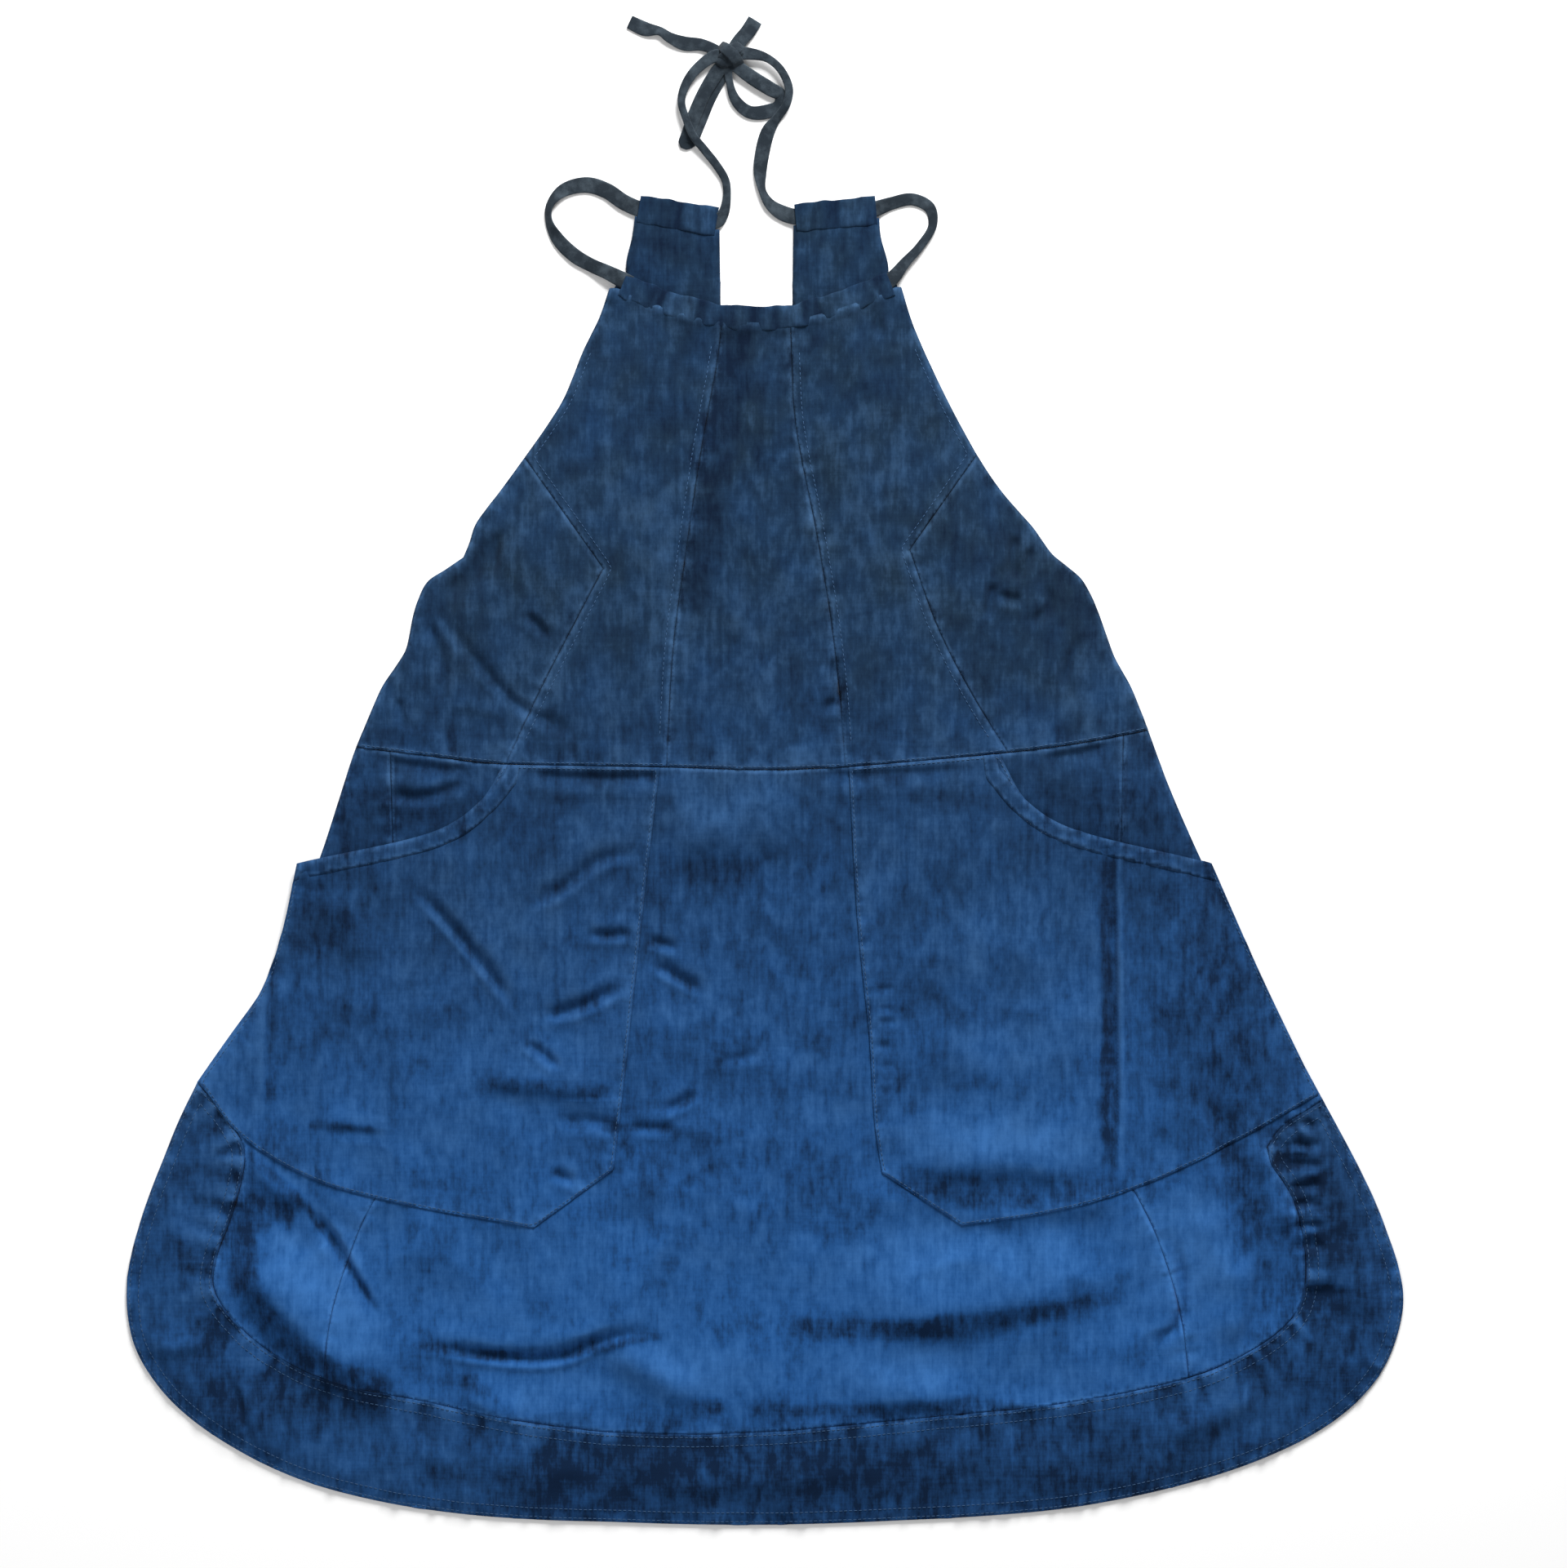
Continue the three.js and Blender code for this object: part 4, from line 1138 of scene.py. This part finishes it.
class SMOCK_OT_tie(bpy.types.Operator):
    """Lays the neck tie: two shoulder loops, two neck ends with the bow, and its knot."""

    bl_idname = "smock.tie"
    bl_label = "Neck tie"

    def execute(self, context):
        knot = self.knot()
        for side in SIDES:
            loop, path = self.tape(f"shoulder_tape_{side}", SHOULDER_ROUTE[side])
            belong(loop, "bodice", "tie_tape", f"tie_shoulder_loop_{side}")
            settings("tie").width
            strap, path = self.tape(f"neck_tape_{side}", NECK_ROUTE[side])
            other = "right" if side == "left" else "left"
            belong(strap, "bodice", "tie_tape", f"tie_neck_{side}", f"bow_loop_{side}", f"bow_tail_{other}")
            settings("tie").width
        return {"FINISHED"}

    def tape(self, name, route):
        """One run of tape, and its centreline in metres."""
        tie = settings("tie")
        points, faces, centre = sweep(stations(route), tie.step / MM)
        points[:, 2] = np.maximum(points[:, 2], TAPE_FLOOR)
        # Painted highlight along the tape's two long edges.
        edges = np.abs(np.cos(np.arange(AROUND) / AROUND * math.tau)) ** 6
        wear_and_highlight = np.tile(edges, len(points) // AROUND)
        made = new_mesh(name, points, faces, tape_cloth(), {"wear_and_highlight": wear_and_highlight})
        path = [list(at(*p)) for p in centre[::2]]
        path.append(list(at(*centre[-1])))
        return made, path

    def knot(self):
        """A pinched core with two turns of tape drawn over it."""
        bm = bmesh.new()
        bmesh.ops.create_uvsphere(bm, u_segments=48, v_segments=28, radius=1.0)
        points = []
        for v in bm.verts:
            wrap = 1 + math.sin(5 * v.co.x + 2.2 * v.co.y) * 0.08 - 0.14 * math.exp(-((v.co.x * 2.2) ** 2))
            x, y, z = (c * wrap * size for c, size in zip(v.co, KNOT_SIZE))
            u = KNOT_PLACE[0] + x * math.cos(KNOT_TURN) - y * math.sin(KNOT_TURN)
            w = KNOT_PLACE[1] + x * math.sin(KNOT_TURN) + y * math.cos(KNOT_TURN)
            points.append((u, w, max(0.2, KNOT_PLACE[2] + z)))
        faces = [tuple(v.index for v in face.verts) for face in bm.faces]
        bm.free()
        points = np.array(points)
        for band in KNOT_BANDS:
            more, shape, _ = sweep(stations(band), settings("tie").step / MM)
            faces += [tuple(i + len(points) for i in face) for face in shape]
            points = np.vstack([points, more])
        points[:, 2] = np.maximum(points[:, 2], TAPE_FLOOR)
        made = new_mesh("neck_bow_knot", points, faces, tape_cloth(), {"wear_and_highlight": np.zeros(len(points))})
        belong(made, "bodice", "tie_tape", "bow_knot")
        return made


NECK_CASING_DEPTH = 3.2
TAB_CASING_DEPTH = 2.6


class SMOCK_OT_casings(bpy.types.Operator):
    """Makes the gathered neck casing and the casing on each back tab."""

    bl_idname = "smock.casings"
    bl_label = "Casings"

    def execute(self, context):
        tie = settings("tie")
        neck = [(u, v, neck_level(u), tie.neck_casing / MM, NECK_CASING_DEPTH, 0) for u, v in NECK_LINE]
        self.tube("neck_casing_cloth", neck, "front_neck_casing", "tie_front_run", 1.0)
        for side in SIDES:
            low = tie.tab_casing / MM / 2
            (a, b), (c, d) = TAB_TOP[side]
            size = math.hypot(c - a, d - b)
            across, down = (d - b) / size * low, -(c - a) / size * low
            flat = (TAB_LEVEL, low * 2, TAB_CASING_DEPTH, 0)
            line = [(a + (c - a) * t + across, b + (d - b) * t + down, *flat) for t in (0, 0.33, 0.66, 1)]
            self.tube(f"tab_casing_cloth_{side}", line, f"tab_casing_{side}", f"tie_tab_run_{side}", 0.6)
        return {"FINISHED"}

    def tube(self, name, line, casing, run, gather):
        """A flattened tube of cloth drawn up into folds along its tape."""
        step, around = 0.9, 32

        def ripple(along, angles):
            layer = 5 * np.sign(np.sin(angles)) + np.cos(angles)
            spot = np.stack([along + 1.2 * np.sin(angles), layer], axis=1)
            return gather * (0.62 * wander(spot, 7.5, 20) + 0.3 * wander(spot, 3.4, 21))

        def swell(along, angles):
            return 1 + ripple(np.full(around, along), angles)

        points, faces, centre = sweep(line, step, around, swell)
        count = len(centre)
        along = np.repeat(np.arange(count) * step, around)
        angle = np.tile(np.arange(around) / around * math.tau, count)
        crimp = ripple(along, angle)
        middle = np.repeat(centre, around, axis=0)
        spread = 1 + 0.16 * gather * wander(np.stack([along, 4 * np.cos(angle)], axis=1), 7, 23)
        points[:, :2] = middle[:, :2] + (points[:, :2] - middle[:, :2]) * spread[:, None]
        points[:, 2] = np.maximum(points[:, 2], 0.3)
        plan = points[:, :2]
        # Paler on the crests of the gathers, wear and a painted highlight; painted shade down in their
        # folds.
        wear_and_highlight = np.clip(crimp * 1.3, 0, 1) * 0.6
        dye_and_shading = dye_and_painted_light(plan) - 0.1 - 2.4 * np.minimum(crimp, 0)
        attributes = {"wear_and_highlight": wear_and_highlight, "falloff_tone": light_falloff_tone(plan), "dye_and_shading": dye_and_shading}
        made = new_mesh(name, points, faces, denim("bodice_denim"), attributes)
        belong(made, "bodice", "denim_bodice", casing, run)


BODICE_TOP = 290  # only points above this belong to a top edge


def under_casing(ring, side=None):
    """The top edge of a bib panel or a back tab carried up under its casing."""
    line, below, tuck = (TAB_TOP[side], 24, 5) if side else (NECK_LINE, 14, 6)
    top = np.interp(ring[:, 0], *np.array(line, float).T) - below
    held = (ring[:, 1] > top) & (ring[:, 1] > BODICE_TOP)
    return np.column_stack([ring[:, 0], ring[:, 1] + np.where(held, tuck, 0)])


class SMOCK_OT_skirt(bpy.types.Operator):
    """Lays the skirt: its front, the back panels brought round to the front and the hem band."""

    bl_idname = "smock.skirt"
    bl_label = "Skirt"

    def execute(self, context):
        pieces = [("skirt_front_cloth", "skirt_front", "back_panel_left", [])]
        for side in SIDES:
            hidden = [f"skirt_back_{side}_fold"]
            pieces.append((f"side_panel_{side}", f"skirt_back_{side}_wrap", f"back_panel_{side}", hidden))
        for name, node, under, hidden in pieces:
            piece = lay(name, outline(node), skirt_height, denim("skirt_denim"),
                        fine="under")
            belong(piece, "skirt", "denim_skirt", node, *hidden)
        band = lay("hem_band_cloth", outline("hem_band_front"), hem_height, hem_cloth(), strength=1.5,
                   strip=settings("cloth").hem)
        belong(band, "skirt", "denim_hem", "hem_band_front")
        return {"FINISHED"}


class SMOCK_OT_bodice(bpy.types.Operator):
    """Lays the bib panels, each from the neck down to the waist seam."""

    bl_idname = "smock.bodice"
    bl_label = "Bodice"

    def execute(self, context):
        for node in BIB_PANELS:
            ring = under_casing(with_strip(node, "waist_strip_front"))
            piece = lay(node + "_cloth", ring, bib_height, denim("bodice_denim"))
            nodes = [node]
            if node == "bib_centre":
                nodes.append("waist_strip_front")
            if node.startswith("bib_side"):
                side = node.rsplit("_", 1)[1]
                nodes += [f"bodice_side_seam_{side}", f"armhole_facing_{side}"]
            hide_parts(*nodes)
            bend(piece)
        return {"FINISHED"}


def bend(piece):
    """Bakes a piece's transform into its mesh."""
    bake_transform(piece)


BACK_PUCKER = 0.15  # the hidden back's seams pucker by this share of the front's


class SMOCK_OT_back(bpy.types.Operator):
    """Lays the back under the front: skirt, hem band and the bodice with its tabs."""

    bl_idname = "smock.back"
    bl_label = "Back"

    def execute(self, context):
        cloth = settings("cloth")
        for side in SIDES:
            panel, band = f"skirt_back_{side}", f"hem_band_back_{side}"
            skirt = lay(f"back_panel_{side}", outline(panel), back_height, denim("skirt_denim"),
                        cloth.back_grid, BACK_PUCKER, fine=False)
            belong(skirt, "skirt", "denim_skirt", panel)
            hem = lay(f"hem_back_{side}", outline(band), back_height, hem_cloth(),
                      cloth.back_grid, BACK_PUCKER, fine=False, strip=cloth.hem)
            belong(hem, "skirt", "denim_hem", band)
            nodes = [f"bodice_back_{side}", f"waist_strip_back_{side}"]
            ring = under_casing(with_strip(*nodes), side)
            bodice = lay(f"back_bodice_{side}", ring, self.tab_height, denim("bodice_denim"),
                         cloth.tab_grid, 0.3, fine=False)
            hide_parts(*nodes)
            bend(bodice)
        return {"FINISHED"}

    def tab_height(self, points):
        """Flat under the bib, lightly gathered up to the tab casings."""
        near = ease((points[:, 1] - 310) / 60)
        ripple = wander(points * (1, 0.1), 8, 14)
        return back_height(points) + near * (TAB_LEVEL - 0.45 + 0.5 * ripple)


UNDER_WAIST = 0.9  # a pocket ends this far under the waist seam


def up_to_waist(ring):
    """A pocket's top edge carried up into the waist seam."""
    seam = waist_line(ring[:, 0]) - UNDER_WAIST
    return np.column_stack([ring[:, 0], np.where(ring[:, 1] > -9.5, seam, ring[:, 1])])


FACING_PUCKER = 1.3  # a facing's seams pucker by this share of the cloth's


class SMOCK_OT_pockets(bpy.types.Operator):
    """Lays the two patch pockets and the facing along each mouth."""

    bl_idname = "smock.pockets"
    bl_label = "Pockets"

    def execute(self, context):
        cloth = denim("pocket_denim")
        for side in SIDES:
            ring = up_to_waist(outline(f"pocket_{side}"))
            pocket = lay(f"pocket_cloth_{side}", ring, pocket_height, cloth)
            belong(pocket, "skirt", "denim_pocket", f"pocket_{side}")
            facing = lay(f"pocket_facing_cloth_{side}", self.facing_ring(side), facing_height, cloth,
                         settings("cloth").facing_grid, FACING_PUCKER, fine=False,
                         strip=FACING * MM)
            belong(facing, "skirt", "denim_pocket", f"pocket_facing_{side}")
        return {"FINISHED"}

    def facing_ring(self, side):
        """A band along the mouth, from the waist seam to the pocket's outer corner."""
        mouth = smooth_line(MOUTH[side], 5)
        run = np.gradient(mouth, axis=0)
        run /= np.linalg.norm(run, axis=1)[:, None]
        inward = np.stack([-run[:, 1], run[:, 0]], axis=1) * -SIGN[side]
        inner = mouth + inward * FACING
        inner[-1] += run[-1] * 4.5
        tops = [(p[0] - SIGN[side] * 3, waist_line(p[0]) - UNDER_WAIST) for p in (mouth[0], inner[0])]
        ring = np.vstack([tops[:1], mouth, inner[::-1], tops[1:]])
        return ring if side == "left" else ring[::-1]


class SMOCK_OT_stitches(bpy.types.Operator):
    """Sews the rows of topstitching along the seams, pockets and hem."""

    bl_idname = "smock.stitches"
    bl_label = "Topstitching"
    SEWN_DOWN = ("bib_inner_left", "bib_inner_right")
    # Which part of a row is sewn: from, to, and whether it is the upright or the level stretches.
    WAIST_ROWS = (-math.inf, FOLD_ABOVE_WAIST - 4, False)
    SEAM_ROWS = (20, 290, True)
    # A stitch's sections, each its place along the stitch, its lift and its share of the width.
    SECTIONS = ((0.0, -0.25, 0.6), (0.2, 0.22, 1.0), (0.8, 0.22, 1.0), (1.0, -0.25, 0.6))
    ANGLES = (-30, 30, 90, 150, 210)

    def execute(self, context):
        rings = {node: with_strip(node, "waist_strip_front") for node in BIB_PANELS}
        bib = self.rows(bib_height, [(ring, 1.8, 1.0) for ring in rings.values()], self.WAIST_ROWS)
        bib += self.rows(bib_height, [(rings[node], 5.5, 1.0) for node in self.SEWN_DOWN], self.SEAM_ROWS)
        self.sew("bodice_topstitching", bib, "denim_bodice", "bodice")
        skirt = self.rows(hem_height, [(outline("hem_band_front"), gap, 1.5) for gap in (2.2, 8.5)])
        for side in SIDES:
            skirt += self.rows(pocket_height, [(up_to_waist(outline(f"pocket_{side}")), 1.9, 1.0)])
        self.sew("skirt_topstitching", skirt, "denim_skirt", "skirt")
        return {"FINISHED"}

    def rows(self, height, lines, part=None):
        """Stitches as (start, end) pairs in millimetres along lines set in from an edge."""
        cloth = settings("cloth")
        stitch, pitch = cloth.stitch / MM, cloth.pitch / MM
        made = []
        for ring, gap, strength in lines:
            own = tree(resample(soften(ring), 1.2))
            row = self.inset(soften(ring), gap)
            walked = np.concatenate([[0.0], np.cumsum(np.linalg.norm(np.diff(row, axis=0), axis=1))])
            starts = np.arange(0, walked[-1] - stitch, pitch)
            ends = starts + stitch
            first = np.stack([np.interp(starts, walked, row[:, k]) for k in (0, 1)], axis=1)
            last = np.stack([np.interp(ends, walked, row[:, k]) for k in (0, 1)], axis=1)
            kept = np.linalg.norm(last - first, axis=1) > stitch * 0.9
            if part:
                low, high, upright = part
                steep = np.abs((last - first)[:, 1]) > stitch * 0.5
                kept &= (first[:, 1] > low) & (first[:, 1] < high) & (steep == upright)
            if kept.any():
                for plan in (first[kept], last[kept]):
                    level = height(plan) + seam_detail(plan, own, strength)[0]
                    made.append(np.column_stack([plan, level]))
        return made

    def inset(self, ring, gap):
        """The line a gap inside a closed ring, without the loops at tight corners."""
        along = np.roll(ring, -1, axis=0) - np.roll(ring, 1, axis=0)
        inward = np.stack([-along[:, 1], along[:, 0]], axis=1)
        row = ring + inward / np.linalg.norm(inward, axis=1)[:, None] * gap
        _, clear = nearest(row, tree(resample(ring, 1.0)))
        row = row[clear > gap * 0.93]
        return np.vstack([row, row[:1]])

    def sew(self, name, pairs, slot, body):
        """One mesh of short raised threads."""
        half = settings("cloth").thread / MM / 2
        first = np.vstack(pairs[0::2])
        last = np.vstack(pairs[1::2])
        run = last - first
        run[:, 2] = 0
        run /= np.maximum(np.linalg.norm(run, axis=1), 1e-6)[:, None]
        across = np.stack([-run[:, 1], run[:, 0], np.zeros(len(run))], axis=1)
        points = []
        for share, lift, wide in self.SECTIONS:
            middle = first * (1 - share) + last * share
            for angle in self.ANGLES:
                out, up = math.cos(math.radians(angle)), math.sin(math.radians(angle))
                spot = middle + across * (half * wide * out)
                spot[:, 2] += lift + half * up * 0.8
                points.append(spot)
        around, count = len(self.ANGLES), len(points)
        sides = list(zip(range(around), (*range(1, around), 0)))
        bars = [(k + a, k + a + around, k + b + around, k + b)
                for k in range(0, count - around, around) for a, b in sides]
        caps = [tuple(range(around)), tuple(range(count - 1, count - 1 - around, -1))]
        faces = [tuple(i * count + c for c in face)
                 for shapes in (bars, caps) for i in range(len(first)) for face in shapes]
        made = new_mesh(name, np.stack(points, axis=1).reshape(-1, 3), faces, thread_cotton())
        if body == "bodice":
            bend(made)
        else:
            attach(made, body)


class SMOCK_PT_panel(bpy.types.Panel):
    """Lists the steps that dress the smock."""

    bl_label = "Smock apron"
    bl_idname = "SMOCK_PT_panel"
    bl_space_type = "VIEW_3D"
    bl_region_type = "UI"
    bl_category = "Smock"

    def draw(self, context):
        for step in STEPS:
            self.layout.operator(step.bl_idname)


STEPS = (
    SMOCK_OT_stage,
    SMOCK_OT_tie,
    SMOCK_OT_casings,
    SMOCK_OT_back,
    SMOCK_OT_skirt,
    SMOCK_OT_bodice,
    SMOCK_OT_pockets,
    SMOCK_OT_stitches,
)
GROUPS = {
    "cloth": SmockClothSettings,
    "tie": SmockTieSettings,
    "colour": SmockColourSettings,
    "stage": SmockStageSettings,
}


def register():
    for group, kind in GROUPS.items():
        bpy.utils.register_class(kind)
        setattr(bpy.types.Scene, "smock_" + group, bpy.props.PointerProperty(type=kind))
    for kind in (*STEPS, SMOCK_PT_panel):
        bpy.utils.register_class(kind)


def unregister():
    for kind in (SMOCK_PT_panel, *reversed(STEPS)):
        bpy.utils.unregister_class(kind)
    for group, kind in GROUPS.items():
        delattr(bpy.types.Scene, "smock_" + group)
        bpy.utils.unregister_class(kind)


def main():
    register()
    for step in STEPS:
        family, action = step.bl_idname.split(".")
        getattr(getattr(bpy.ops, family), action)()


if __name__ == "__main__":
    main()
